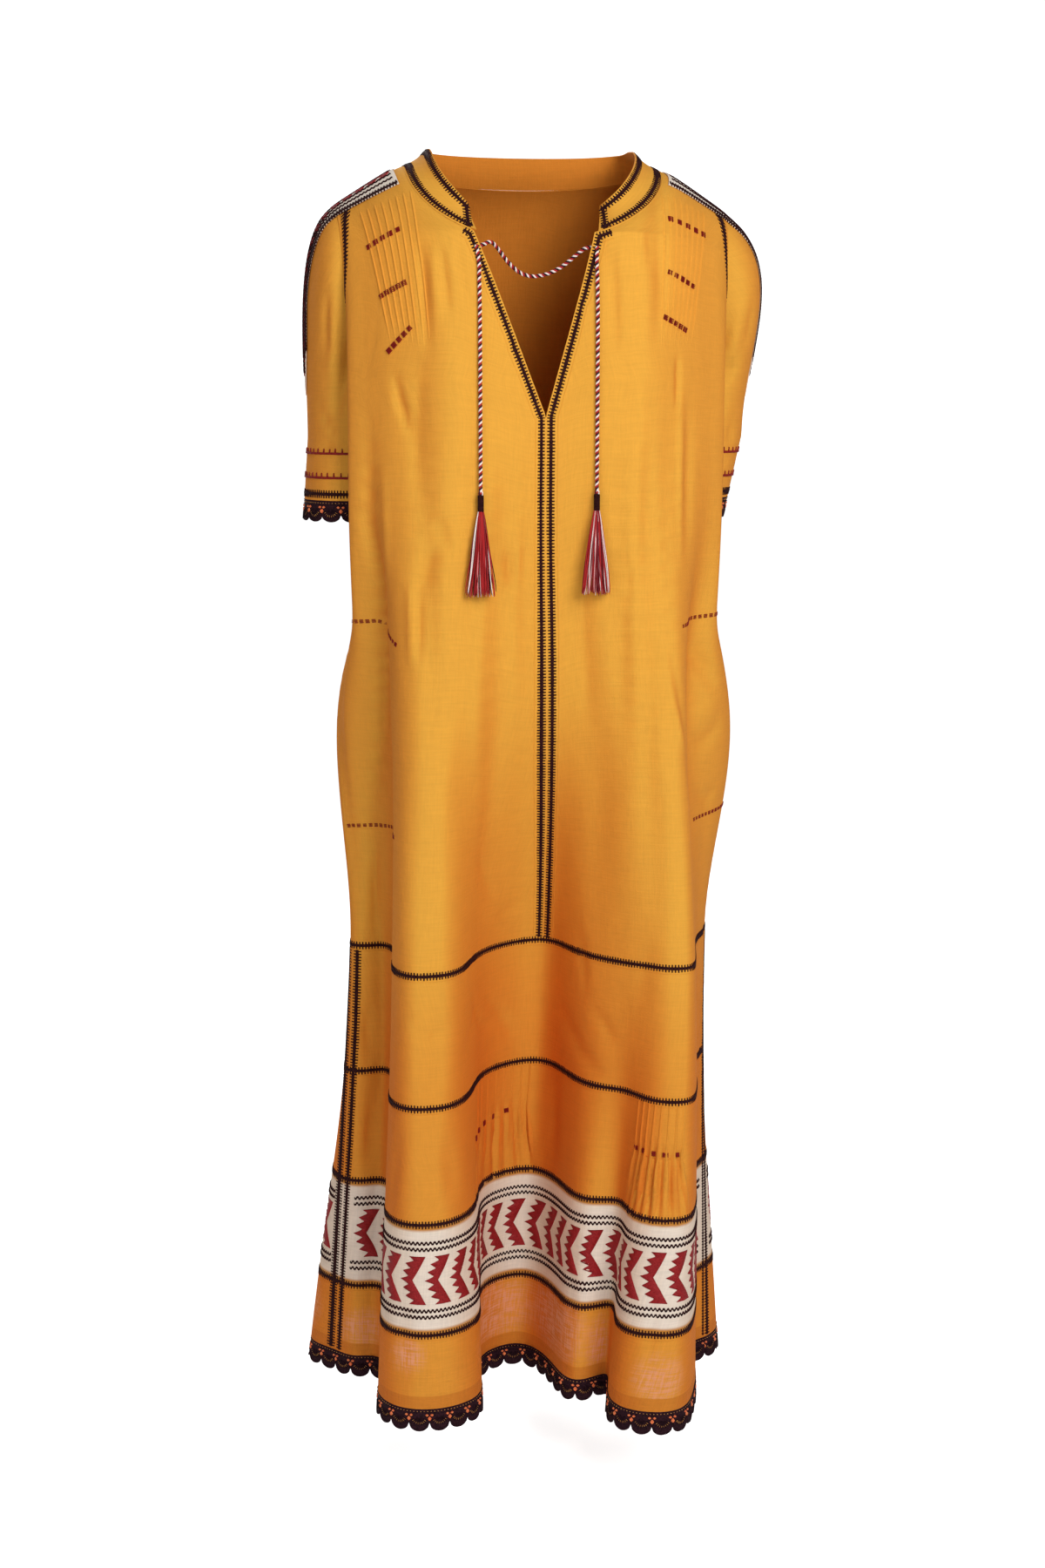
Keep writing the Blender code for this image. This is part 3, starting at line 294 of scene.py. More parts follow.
def thin_linen():
    """Make the looser linen of the hem band, with painted light, a pale lattice, where it is marked as
    sheer.
    """
    finish = Finish("thin ochre linen", LINEN_ROUGHNESS)
    warp, weft, height = threads(finish)
    across, along = finish.weave()
    lines = []
    for side, other, seed in ((across, along, 3.0), (along, across, 9.0)):
        lines.append(finish.noise((side * (1 / LATTICE), other * LATTICE_LONG, seed), 1.0, 3.0))
    open_here = (lines[0] + lines[1]).limited(0.86, 1.18)
    single = height_of(finish).limited(HEM + TURN_UP - 0.0006, HEM + TURN_UP + 0.0006)
    # painted shade, as on the ochre linen
    body = finish.mixed(finish.attribute("shade_dip", 2), OCHRE, OCHRE_SHADED)
    double = finish.mixed(0.45, body, seen(186, 92, 22))
    body = finish.mixed(single, double, body)
    # painted light: a pale pink lattice where light shines through the open weave of the single layer
    glow = finish.attribute("sheer", 2) * single * (open_here * 0.78 + 0.10)
    body = finish.mixed(glow, body, seen(232, 156, 120))
    finish.painted(body, (warp + weft) * 0.22 + 0.78)
    fine = height * 0.02 + warp * 0.07 + weft * 0.07 + open_here * 0.04
    finish.raised(crumpled(finish) + fine, CRUMPLE, 0.8)
    sheened(finish, OCHRE)
    return finish


def ecru_linen(name, rims):
    """Make ecru linen, with ochre rims at the heights in rims."""
    finish = woven(name, ECRU, ECRU_SHADED, 0.26)
    if rims:
        height = height_of(finish)
        low, high = rims
        near_low = 1 - height.limited(low + RIM, low + RIM + 0.004)
        near_high = height.limited(high - RIM - 0.004, high - RIM)
        old = finish.shader.inputs["Base Color"].links[0].from_socket
        finish.painted(finish.mixed(near_low + near_high, Signal(finish, old), seen(198, 128, 48)))
    return finish


hem_linen = thin_linen()
ecru = ecru_linen("ecru linen band", (BAND_FOUR, BAND_THREE))
ecru_plain = ecru_linen("ecru linen", None)
print("linen finishes:", linen.material.name, hem_linen.material.name, ecru.material.name)

# %% [markdown]
# ## Threads
#
# Embroidery thread is smoother than cloth and catches a soft highlight. Each colour gets its own
# finish with fine cross ridges, like the turns of the yarn. The tie and its tassels read their colour
# from a mark on the mesh, because three yarns are laid together there.

# %% Thread finishes
YARN_DEEP = 0.0003


def thread(name, colour, second, roughness=0.6, ridge=2600.0, shine=0.25):
    """Make a finish of thread whose colour varies softly between two tones."""
    finish = Finish(name, roughness, shine)
    place = finish.own_place()
    tone = finish.noise(place, 700.0, 2.0).limited(0.35, 0.65)
    finish.painted(finish.mixed(tone, seen(*colour), seen(*second)))
    finish.raised(finish.noise(place, ridge, 1.0), YARN_DEEP, 0.4)
    return finish


def yarn(name):
    """Make a finish that takes each yarn's colour from the mesh."""
    finish = Finish(name, 0.68)
    noise = finish.noise(finish.own_place(), 1500.0, 2.0)
    finish.painted(finish.attribute("yarn", 0), noise * 0.5 + 0.75)
    finish.raised(noise, YARN_DEEP, 0.5)
    return finish


black_thread = thread("black thread", (34, 12, 14), (56, 24, 24), 0.8, shine=0.08)
red_thread = thread("dark red thread", (130, 14, 20), (154, 28, 30))
wine_thread = thread("wine red thread", (120, 14, 16), (142, 28, 20))
lace_thread = thread("dark lace", (30, 14, 20), (52, 26, 34), 0.8, 1400.0, 0.08)
salmon_thread = thread("salmon thread", (226, 98, 58), (236, 140, 84))
straw_thread = thread("straw thread", (206, 150, 84), (150, 92, 50))
tie_yarn = yarn("tie yarn")
RED_YARN = seen(176, 34, 36)
DARK_YARN = seen(44, 18, 24)
PALE_YARN = seen(240, 226, 220)
PINK_YARN = seen(222, 150, 150)
print("threads:", black_thread.material.name, red_thread.material.name, lace_thread.material.name)

# %% [markdown]
# ## Meshes from points
#
# Every piece here is worked out as points and faces. One helper turns them into an object, makes its
# faces point outwards by the sign of the volume that they close, and puts marks on the points.

# %% Mesh helper
SHARP_FROM = math.radians(50)


def inside_volume(points, faces):
    """Give the signed volume inside faces of four corners, above 0 where they point outwards."""
    first, second, third, fourth = (points[faces[:, corner]] for corner in range(4))
    parts = np.einsum("ij,ij->i", first, np.cross(second, third) + np.cross(third, fourth))
    return parts.sum() / 6


def plain_mesh(name, points, faces):
    """Make a mesh; a face that repeats a corner becomes a triangle."""
    mesh = bpy.data.meshes.new(name)
    rows = [tuple(dict.fromkeys(face)) for face in faces.tolist()]
    mesh.from_pydata(points.tolist(), [], rows)
    return mesh


def make_piece(name, points, faces, finish, uv=None, marks=None):
    """Make one object from points and four-cornered faces."""
    if inside_volume(points, faces) < 0:
        faces = faces[:, ::-1]
    mesh = plain_mesh(name, points, faces)
    mesh.materials.append(finish.material)
    corners = np.empty(len(mesh.loops), dtype=np.int32)
    mesh.loops.foreach_get("vertex_index", corners)
    if uv is not None:
        layer = mesh.uv_layers.new(name="weave")
        layer.data.foreach_set("uv", uv[corners].astype(np.float32).ravel())
    for mark, values in (marks or {}).items():
        if values.ndim == 1:
            made = mesh.attributes.new(mark, "FLOAT", "POINT")
            made.data.foreach_set("value", values.astype(np.float32))
        else:
            yarn_marks(mesh, values)
    mesh.shade_smooth()
    mesh.set_sharp_from_angle(angle=SHARP_FROM)
    mesh.update()
    piece = placed(name, mesh)
    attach(piece, "root")
    return piece


def yarn_marks(mesh, colours):
    """Mark each point with the colour of its yarn."""
    made = mesh.color_attributes.new("yarn", "FLOAT_COLOR", "POINT")
    made.data.foreach_set("color", colours.astype(np.float32).ravel())


def read_points(mesh):
    """Read the points of a mesh."""
    flat = np.empty(len(mesh.vertices) * 3)
    mesh.vertices.foreach_get("co", flat)
    return flat.reshape(-1, 3)


def unit(vectors):
    """Scale vectors to length 1."""
    return vectors / np.maximum(np.linalg.norm(vectors, axis=-1, keepdims=True), 1e-12)


def lengths_along(points):
    """Give the length from the first point to each point of a line."""
    return np.concatenate([[0.0], np.cumsum(np.linalg.norm(np.diff(points, axis=0), axis=1))])


def merged(parts):
    """Join several lists of points and faces."""
    points, faces = zip(*parts)
    starts = np.cumsum([0] + [len(some) for some in points])
    return np.vstack(points), np.vstack([some + start for some, start in zip(faces, starts)])


def ring_faces(rows, columns):
    """Number the points of a tube, and give the faces between its rings."""
    grid = np.arange(rows * columns).reshape(rows, columns)
    after = np.roll(grid, -1, axis=1)
    return grid, np.stack([grid[:-1], after[:-1], after[1:], grid[1:]], axis=-1).reshape(-1, 4)


def bar_faces(rows, columns, quads):
    """Give the faces of a bar whose two ends are each closed by a few quads."""
    grid, faces = ring_faces(rows, columns)
    caps = [grid[end, list(quad)][::turn] for end, turn in ((0, -1), (-1, 1)) for quad in quads]
    return np.vstack([faces[:, ::-1], caps])


print("helpers are ready")

# %% [markdown]
# ## The tie, as three yarns twisted together
#
# The cord comes first of all pieces. It leaves the cloth through an eyelet on each side of the slit,
# hangs down the front, and sags across the slit between the two eyelets. A real one is three yarns
# twisted together. Each yarn is a thin tube that winds round the cord's own line, once in 6.6 mm.

# %% Twisted cords
YARN_RADIUS = 0.00105
YARN_OUT = 0.00095
TWIST = 0.0066
TWIST_STEPS = 11
YARN_SIDES = 6
TIE_ROUTES = {
    "tie_cord_left": (
        (-.0721, -.1202, -.0841), (-.0704, -.1226, -.0941), (-.0698, -.1247, -.1043),
        (-.0700, -.1265, -.1146), (-.0700, -.1278, -.1250), (-.0700, -.1289, -.1354),
        (-.0700, -.1296, -.1458), (-.0700, -.1301, -.1562), (-.0700, -.1304, -.1667),
        (-.0700, -.1306, -.1771), (-.0700, -.1307, -.1876), (-.0700, -.1308, -.1981),
        (-.0700, -.1308, -.2190), (-.0700, -.1308, -.2503), (-.0700, -.1308, -.2817),
        (-.0700, -.1308, -.3026), (-.0700, -.1308, -.3235),
    ),
    "tie_cord_right": (
        (.0482, -.1156, -.0841), (.0476, -.1180, -.0942), (.0474, -.1200, -.1045),
        (.0475, -.1217, -.1148), (.0475, -.1230, -.1252), (.0475, -.1240, -.1356),
        (.0475, -.1247, -.1460), (.0475, -.1251, -.1564), (.0475, -.1254, -.1668),
        (.0475, -.1256, -.1773), (.0475, -.1257, -.1877), (.0475, -.1258, -.1982),
        (.0475, -.1258, -.2191), (.0475, -.1258, -.2504), (.0475, -.1258, -.2817),
        (.0475, -.1258, -.3026), (.0475, -.1258, -.3235),
    ),
    "tie_cord_across": (
        (-.0731, -.1127, -.0863), (-.0638, -.1085, -.0829), (-.0552, -.1037, -.0801),
        (-.0475, -.0997, -.0865), (-.0410, -.0964, -.0943), (-.0338, -.0965, -.1023),
        (-.0252, -.0965, -.1088), (-.0151, -.0965, -.1120), (-.0044, -.0965, -.1113),
        (.0059, -.0965, -.1082), (.0154, -.0963, -.1033), (.0239, -.0981, -.0969),
        (.0317, -.1012, -.0902), (.0401, -.1050, -.0847), (.0501, -.1083, -.0862),
    ),
}


def smooth_line(route, spacing):
    """Read points at even spacing from the smooth curve through a route."""
    route = np.array(route, dtype=float)
    padded = np.vstack([2 * route[0] - route[1], route, 2 * route[-1] - route[-2]])
    parts = np.linspace(0, 1, 24, endpoint=False)[:, None]
    fine = []
    for index in range(1, len(padded) - 2):
        before, start, end, after = padded[index - 1:index + 3]
        bend = 2 * before - 5 * start + 4 * end - after
        turn = 3 * start - 3 * end + after - before
        fine.append(0.5 * (2 * start + (end - before) * parts + bend * parts ** 2 + turn * parts ** 3))
    fine = np.vstack(fine + [route[-1:]])
    length = lengths_along(fine)
    wanted = np.linspace(0, length[-1], max(2, round(length[-1] / spacing) + 1))
    return np.column_stack([np.interp(wanted, length, fine[:, axis]) for axis in range(3)])


def carried_frames(line):
    """Carry two cross directions along a line without twisting them."""
    along = unit(np.gradient(line, axis=0))
    side = np.cross(along[0], [0.0, 1.0, 0.3])
    sides = []
    for step in along:
        side = side - step * np.dot(side, step)
        side = side / np.linalg.norm(side)
        sides.append(side)
    sides = np.array(sides)
    return sides, np.cross(along, sides)


def tube(line, radii, side_count):
    """Make the points and faces of a closed tube along a line."""
    sides, others = carried_frames(line)
    turns = np.arange(side_count) / side_count * math.tau
    ring = np.cos(turns)[None, :, None] * sides[:, None] + np.sin(turns)[None, :, None] * others[:, None]
    points = line[:, None] + ring * np.reshape(radii, (-1, 1, 1))
    grid, faces = ring_faces(len(line), side_count)
    tip = grid.size
    caps = [(b, a, tip, tip) for a, b in zip(grid[0], np.roll(grid[0], -1))]
    caps += [(a, b, tip + 1, tip + 1) for a, b in zip(grid[-1], np.roll(grid[-1], -1))]
    return np.vstack([points.reshape(-1, 3), line[:1], line[-1:]]), np.vstack([faces, caps])


def yarn_piece(name, lines, colours, radius):
    """Make one piece from a yarn along each line."""
    parts = [tube(line, radius, YARN_SIDES) for line in lines]
    marks = np.vstack([np.tile(colour, (len(part[0]), 1)) for part, colour in zip(parts, colours)])
    return make_piece(name, *merged(parts), tie_yarn, marks={"yarn": marks})


def twisted_cord(name, route):
    """Make one stretch of the tie from three twisted yarns."""
    line = smooth_line(route, TWIST / TWIST_STEPS)
    sides, others = carried_frames(line)
    turned = lengths_along(line)[:, None] / TWIST * math.tau
    windings = []
    for number in range(3):
        turn = turned + number * math.tau / 3
        windings.append(line + (sides * np.cos(turn) + others * np.sin(turn)) * YARN_OUT)
    cord = yarn_piece(name + "_twist", windings, (RED_YARN, PALE_YARN, DARK_YARN), YARN_RADIUS)
    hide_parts(name)
    return cord, line


for cord_name, cord_route in TIE_ROUTES.items():
    cord, line = twisted_cord(cord_name, cord_route)
    length = float(lengths_along(line)[-1])
    path = line[::4].tolist() + [line[-1].tolist()]
    print(cord_name, "is", round(length * 1000), "mm long")

# %% [markdown]
# ## The form of the dress
#
# A garment is easiest to describe from above, one cut at a time. Going once round the dress, 34 fold
# lines are named: seams, crests, troughs and the two knee lobes. A table gives where each of them
# stands at five heights, and smooth curves fill what lies between. Above the chest the same ring runs
# up over a rounded yoke to the shoulder line. A place on the cloth is then two numbers: how many fold
# lines round, and how far up or down from the chest. This is the table that the solids use too.

# %% Table of folds
CHEST = -0.25
BAND_ONE = -0.815
BAND_TWO = -0.956
LACE_DEPTH = 0.025
LEVELS = np.array([CHEST, -0.36, -0.50, BAND_ONE, HEM])
# Columns: name, then x and y at the chest, cuff, hip, knee and hem
FOLDS = (
    ("seam_left", -.118, .020, -.120, .024, -.184, .030, -.190, .022, -.216, .024),
    ("side_left", -.156, -.032, -.158, -.030, -.193, .006, -.178, .016, -.196, .006),
    ("crest_left", -.193, -.054, -.193, -.046, -.186, -.016, -.160, .016, -.176, .002),
    ("trough_left", -.178, -.071, -.174, -.066, -.160, -.036, -.149, -.006, -.165, -.012),
    ("edge_left", -.158, -.090, -.156, -.092, -.153, -.086, -.157, -.080, -.178, -.080),
    ("lobe_left_side", -.128, -.111, -.130, -.113, -.132, -.113, -.142, -.116, -.160, -.124),
    ("lobe_left", -.092, -.128, -.094, -.126, -.100, -.121, -.110, -.118, -.116, -.135),
    ("lobe_left_end", -.062, -.126, -.064, -.122, -.072, -.112, -.074, -.066, -.074, -.110),
    ("valley_left", -.030, -.118, -.030, -.112, -.034, -.097, -.034, -.006, -.052, -.010),
    ("centre_front", -.002, -.113, -.001, -.105, .004, -.088, .017, .012, -.014, .009),
    ("valley_right", .030, -.118, .031, -.112, .038, -.096, .046, -.044, .018, -.044),
    ("middle", .056, -.125, .057, -.121, .062, -.107, .068, -.078, .042, -.092),
    ("trough_middle", .080, -.130, .080, -.127, .084, -.115, .090, -.100, .070, -.082),
    ("lobe_right_end", .100, -.126, .100, -.125, .104, -.121, .110, -.117, .066, -.128),
    ("lobe_right", .120, -.115, .120, -.117, .124, -.123, .128, -.128, .080, -.168),
    ("corner_right", .140, -.102, .138, -.105, .140, -.112, .147, -.128, .128, -.178),
    ("edge_right", .158, -.088, .156, -.089, .150, -.084, .160, -.104, .158, -.132),
    ("trough_right", .178, -.071, .175, -.066, .162, -.048, .172, -.052, .172, -.074),
    ("crest_right", .194, -.054, .194, -.050, .192, -.036, .188, .000, .180, -.024),
    ("side_right", .156, -.032, .158, -.030, .206, -.014, .200, .024, .190, -.014),
    ("seam_right", .118, .020, .120, .024, .206, .018, .207, .050, .200, -.008),
    ("back_side_right", .120, .062, .121, .064, .202, .052, .206, .078, .219, .014),
    ("back_edge_right", .142, .098, .144, .099, .198, .086, .196, .102, .222, .062),
    ("back_crest_right", .172, .115, .173, .115, .180, .112, .172, .120, .196, .116),
    ("back_lobe_right", .136, .133, .138, .132, .140, .126, .138, .118, .150, .138),
    ("back_trough_right", .095, .129, .096, .127, .098, .116, .100, .090, .100, .092),
    ("back_valley_right", .050, .120, .050, .120, .052, .120, .056, .098, .058, .080),
    ("centre_back", .000, .117, .000, .120, .002, .128, .006, .136, .018, .148),
    ("back_lobe_left", -.050, .120, -.050, .121, -.050, .124, -.044, .128, -.038, .146),
    ("back_trough_left", -.095, .129, -.095, .127, -.096, .114, -.086, .090, -.078, .086),
    ("back_valley_left", -.136, .133, -.136, .132, -.134, .124, -.122, .090, -.116, .082),
    ("back_crest_left", -.172, .115, -.171, .115, -.168, .108, -.154, .110, -.156, .130),
    ("back_edge_left", -.142, .098, -.144, .099, -.184, .080, -.178, .084, -.212, .110),
    ("back_side_left", -.120, .062, -.121, .064, -.188, .054, -.187, .050, -.240, .056),
)
FOLD_NAMES = [row[0] for row in FOLDS]
LEFT_SEAM = 0
FRONT = FOLD_NAMES.index("centre_front")
RIGHT_SEAM = FOLD_NAMES.index("seam_right")
BACK = FOLD_NAMES.index("centre_back")
ROUND = len(FOLDS)
numbers = np.array([row[1:] for row in FOLDS], dtype=float)
PLAN = numbers.reshape(ROUND, len(LEVELS), 2).transpose(1, 0, 2)
print("fold lines:", ROUND, "centre front is number", FRONT)


# %% Curves between the levels
def plan_slopes():
    """Give each fold line's slope against height at each level, upright at the chest."""
    rise = np.diff(LEVELS)[:, None, None]
    steps = np.diff(PLAN, axis=0) / rise
    slopes = np.zeros_like(PLAN)
    slopes[1:-1] = (steps[:-1] * rise[1:] + steps[1:] * rise[:-1]) / (rise[1:] + rise[:-1])
    slopes[-1] = steps[-1]
    return slopes


SLOPES = plan_slopes()


def fold_points(height):
    """Give every fold line's (x, y) at one height, at or below the chest."""
    if height <= LEVELS[-1]:
        return PLAN[-1] + SLOPES[-1] * (height - LEVELS[-1])
    upper = int(np.clip(np.searchsorted(-LEVELS, -height, side="right") - 1, 0, len(LEVELS) - 2))
    span = LEVELS[upper + 1] - LEVELS[upper]
    part = (height - LEVELS[upper]) / span
    start = PLAN[upper] * (1 + 2 * part) * (1 - part) ** 2
    end = PLAN[upper + 1] * part ** 2 * (3 - 2 * part)
    lean_start = SLOPES[upper] * span * part * (1 - part) ** 2
    lean_end = SLOPES[upper + 1] * span * part ** 2 * (part - 1)
    return start + end + lean_start + lean_end


def closed_spline(points):
    """Give the points, chords and bends of the smooth closed curve through the fold lines."""
    ahead = np.roll(points, -1, axis=0)
    chords = np.linalg.norm(ahead - points, axis=1)
    count = len(points)
    order = np.arange(count)
    matrix = np.zeros((count, count))
    matrix[order, order - 1] = np.roll(chords, 1)
    matrix[order, order] = 2 * (np.roll(chords, 1) + chords)
    matrix[order, (order + 1) % count] = chords
    slopes = (ahead - points) / chords[:, None]
    bends = np.linalg.solve(matrix, 6 * (slopes - np.roll(slopes, 1, axis=0)))
    return points, chords, bends


def read_spline(spline, places):
    """Read the closed curve at places counted in fold lines."""
    points, chords, bends = spline
    whole = np.floor(places).astype(int)
    part = (places - whole)[:, None]
    first = whole % len(points)
    second = (whole + 1) % len(points)
    rest = 1 - part
    chord = chords[first][:, None]
    bow = ((rest ** 3 - rest) * bends[first] + (part ** 3 - part) * bends[second]) * chord ** 2 / 6
    return rest * points[first] + part * points[second] + bow


CHEST_RING = closed_spline(fold_points(CHEST))
around_chest = lengths_along(read_spline(CHEST_RING, np.linspace(0, ROUND, 400)))[-1]
print("once round the cloth at the chest is", round(around_chest, 2), "m")

# %% [markdown]
# ## The yoke, neck and armholes
#
# Above the chest the cloth leans in, and rounds over to the shoulder line. The neck seam is a shallow
# oval, and below it a slit opens in a narrow V. The armholes cut in from the side seams as they rise.

# %% Yoke, neck and armholes
SHOULDER_Y = 0.010
YOKE_POWER = 4.5
YOKE_DEPTH = 0.12
SHOULDER_SLOPE = 0.64
NECK_HALF = 0.130
SLOPE_SOFTNESS = 0.012
SHOULDER_HALF = 0.200
ARMHOLE_START = 0.15
ARMHOLE_POWER = 3.6
ARMHOLE_FOLDS_FRONT = 1.95
ARMHOLE_FOLDS_BACK = 3.2
NECK_DROP_FRONT = 0.080
NECK_DROP_BACK = 0.020
NECK_LEAN = -0.011
SLIT_FOOT = -0.248
SLIT_TOP = -0.0707
SLIT_SPREAD = 0.341
SLIT_LEAN = -0.062
profile_turn = np.linspace(0, math.pi / 2, 1200) ** 1.6 / (math.pi / 2) ** 0.6
PROFILE_RISE = np.sin(profile_turn) ** (2 / YOKE_POWER)
PROFILE_KEEP = np.cos(profile_turn)
profile_steps = np.hypot(np.diff(PROFILE_RISE) * -CHEST, np.diff(PROFILE_KEEP) * YOKE_DEPTH)
PROFILE_LENGTH = np.concatenate([[0.0], np.cumsum(profile_steps)])
YOKE_LENGTH = PROFILE_LENGTH[-1]


def way_up(rise):
    """Turn a rise from 0 at the chest to 1 at the shoulder line into a length along the yoke."""
    return np.interp(rise, PROFILE_RISE, PROFILE_LENGTH)


def rise_at(way):
    """Turn a length along the yoke back into its rise."""
    return np.interp(way, PROFILE_LENGTH, PROFILE_RISE)


def way_at(height):
    """Turn a height into a way: below the chest a drop, above it a length along the yoke."""
    return height - CHEST if height < CHEST else float(way_up(1 - height / CHEST))


def yoke_surface(places, way):
    """Give points of the cloth above the chest."""
    plan = read_spline(CHEST_RING, places)
    rise = np.interp(way, PROFILE_LENGTH, PROFILE_RISE)
    keep = np.interp(way, PROFILE_LENGTH, PROFILE_KEEP)
    widest_front = np.max(np.abs(PLAN[0, :RIGHT_SEAM + 1, 0]))
    widest_back = np.max(np.abs(PLAN[0, RIGHT_SEAM:, 0]))
    is_back = np.mod(places, ROUND) > RIGHT_SEAM
    widest = np.where(is_back, SHOULDER_HALF / widest_back, SHOULDER_HALF / widest_front)
    across = plan[:, 0] * (1 + (widest - 1) * rise ** 3)
    deep = SHOULDER_Y + (plan[:, 1] - SHOULDER_Y) * keep
    beyond = np.abs(across) - NECK_HALF
    soft = 0.5 * (beyond + np.hypot(beyond, SLOPE_SOFTNESS))
    shoulder = SHOULDER_SLOPE * (SLOPE_SOFTNESS / 2 - soft)
    return np.column_stack([across, deep, CHEST - CHEST * rise + shoulder * rise ** 3])


def neck_limit(rise, side):
    """Give x of the slit or neck edge on one side of the front at a rise."""
    height = CHEST - CHEST * rise
    if height <= SLIT_TOP:
        open_by = max(height - SLIT_FOOT, 0.0)
        return -0.002 + SLIT_LEAN * open_by + side * SLIT_SPREAD * open_by
    sine = min(-height / NECK_DROP_FRONT, 1.0)
    return side * NECK_HALF * math.sqrt(1 - sine ** 2) + NECK_LEAN * sine


FINE_PLACES = 900


def place_at(across, rise, first, last):
    """Find the place between two fold lines where the yoke has a given x."""
    places = np.linspace(first, last, FINE_PLACES)
    found = yoke_surface(places, np.full(len(places), way_up(rise)))[:, 0]
    order = np.argsort(found)
    return float(np.interp(across, found[order], places[order]))


def armhole_place(rise, seam, step):
    """Give the place of the armhole edge at a rise, counted from a side seam."""
    share = np.clip((rise - ARMHOLE_START) / (1 - ARMHOLE_START), 0, 1)
    return seam + step * (1 - (1 - share) ** ARMHOLE_POWER)


def armhole_at(rise, side, back=False):
    """Give the place of the front or back armhole edge on one side at a rise."""
    if back:
        return armhole_place(rise, RIGHT_SEAM if side > 0 else ROUND, side * ARMHOLE_FOLDS_BACK)
    return armhole_place(rise, RIGHT_SEAM if side > 0 else LEFT_SEAM, -side * ARMHOLE_FOLDS_FRONT)


def neck_place(rise, side):
    """Give the place of the neck or slit edge on one side of the front."""
    ends = (LEFT_SEAM + 3.2, FRONT + 0.6) if side < 0 else (FRONT - 0.6, RIGHT_SEAM - 3.2)
    return place_at(neck_limit(rise, side), rise, *ends)


def front_span(way, side):
    """Give the inner and outer places of one front at a way."""
    if way <= 0:
        return FRONT, LEFT_SEAM if side < 0 else RIGHT_SEAM
    rise = float(rise_at(way))
    outer = armhole_at(rise, side)
    if CHEST - CHEST * rise <= SLIT_FOOT:
        return FRONT, outer
    return neck_place(rise, side), outer


print("from the chest to the shoulder line is", round(YOKE_LENGTH * 1000), "mm along the cloth")

# %% [markdown]
# ## Cloth that can be read, creased and drawn on
#
# All pieces of one surface share a fine grid of points. The class below reads it anywhere between its
# points, gives the outward direction, presses creases into it, and so lets panels, seams, stitches and
# lace agree about where the cloth is. A crease is a line on the cloth with a width and a depth. The
# push falls off like a bell away from the line and fades at both ends, so it reads as a soft fold.

# %% Cloth
DIP_REACHES = (5, 12)
SMALL_SHARE = 0.7
CREASE_MARKS = 22
CREASE_REACH = 3
CREASE_PLACES = 2.2


class Cloth:
    """A grid of points that is read at any two numbers, across and up."""

    def __init__(self, grid, us, vs, turned=1):
        self.grid = grid
        self.us = us
        self.vs = vs
        self.turned = turned
        self.closed = bool(np.allclose(grid[0], grid[-1], atol=1e-6))
        self.small_u = (us[-1] - us[0]) / len(us) * SMALL_SHARE
        self.small_v = (vs[-1] - vs[0]) / len(vs) * SMALL_SHARE
        self.measure()

    def measure(self):
        """Work out the outward direction of every point, and how far it dips into a valley, which later
        sets the painted shade.
        """
        around = np.gradient(self.grid, axis=0)
        if self.closed:
            around[0] = (self.grid[1] - self.grid[-2]) / 2
            around[-1] = around[0]
        self.out = unit(np.cross(around, np.gradient(self.grid, axis=1))) * self.turned
        self.shade_dip = np.zeros(self.grid.shape[:2])
        last = len(self.us) - 1
        rows = np.arange(last + 1)
        for reach in DIP_REACHES:
            left, right = (self.grid[some % last if self.closed else np.clip(some, 0, last)]
                           for some in (rows - reach, rows + reach))
            self.shade_dip += np.einsum("ijk,ijk->ij", (left + right) / 2 - self.grid, self.out)

    def spot(self, table, u, v):
        """Read a table of the grid between its points, also a little past its edges."""
        u = np.asarray(u, dtype=float)
        v = np.asarray(v, dtype=float)
        if self.closed:
            u = np.mod(u - self.us[0], self.us[-1] - self.us[0]) + self.us[0]
        indices = []
        for value, marks in ((u, self.us), (v, self.vs)):
            index = np.interp(value, marks, np.arange(len(marks)))
            index = index + np.minimum(value - marks[0], 0) / (marks[1] - marks[0])
            index = index + np.maximum(value - marks[-1], 0) / (marks[-1] - marks[-2])
            whole = np.clip(np.floor(index).astype(int), 0, len(marks) - 2)
            indices.append((whole, index - whole))
        (i, a), (j, b) = indices
        if table.ndim == 3:
            a, b = a[..., None], b[..., None]
        low = table[i, j] * (1 - a) + table[i + 1, j] * a
        high = table[i, j + 1] * (1 - a) + table[i + 1, j + 1] * a
        return low * (1 - b) + high * b

    def at(self, u, v, out=0.0):
        """Give points of the cloth, moved out by a length."""
        lift = np.asarray(out, dtype=float)[..., None]
        return self.spot(self.grid, u, v) + self.spot(self.out, u, v) * lift

    def press(self, creases):
        """Press creases into the cloth: width, depth, then both numbers of each point of a line."""
        moved = np.zeros(self.grid.shape[:2])
        for width, depth, *line in creases:
            numbers = np.arange(len(line) // 2)
            marks = np.linspace(0, numbers[-1], CREASE_MARKS)
            us, vs = (np.interp(marks, numbers, line[first::2]) for first in (0, 1))
            points = self.at(us, vs)
            low = points.min(axis=0) - CREASE_REACH * width
            high = points.max(axis=0) + CREASE_REACH * width
            near = np.all((self.grid > low) & (self.grid < high), axis=2)
            near &= ((self.us > us.min() - CREASE_PLACES) & (self.us < us.max() + CREASE_PLACES))[:, None]
            rows = np.nonzero(near)
            gaps = np.linalg.norm(self.grid[rows][:, None] - points[None], axis=2)
            nearest = gaps.argmin(axis=1)
            fade = np.sin(math.pi * (0.03 + 0.94 * nearest / (CREASE_MARKS - 1))) ** 0.8
            moved[rows] -= depth * fade * np.exp(-(gaps.min(axis=1) / width) ** 2)
        self.grid = self.grid + self.out * moved[:, :, None]
        if self.closed:
            self.grid[-1] = self.grid[0]
        self.measure()
        return len(creases)


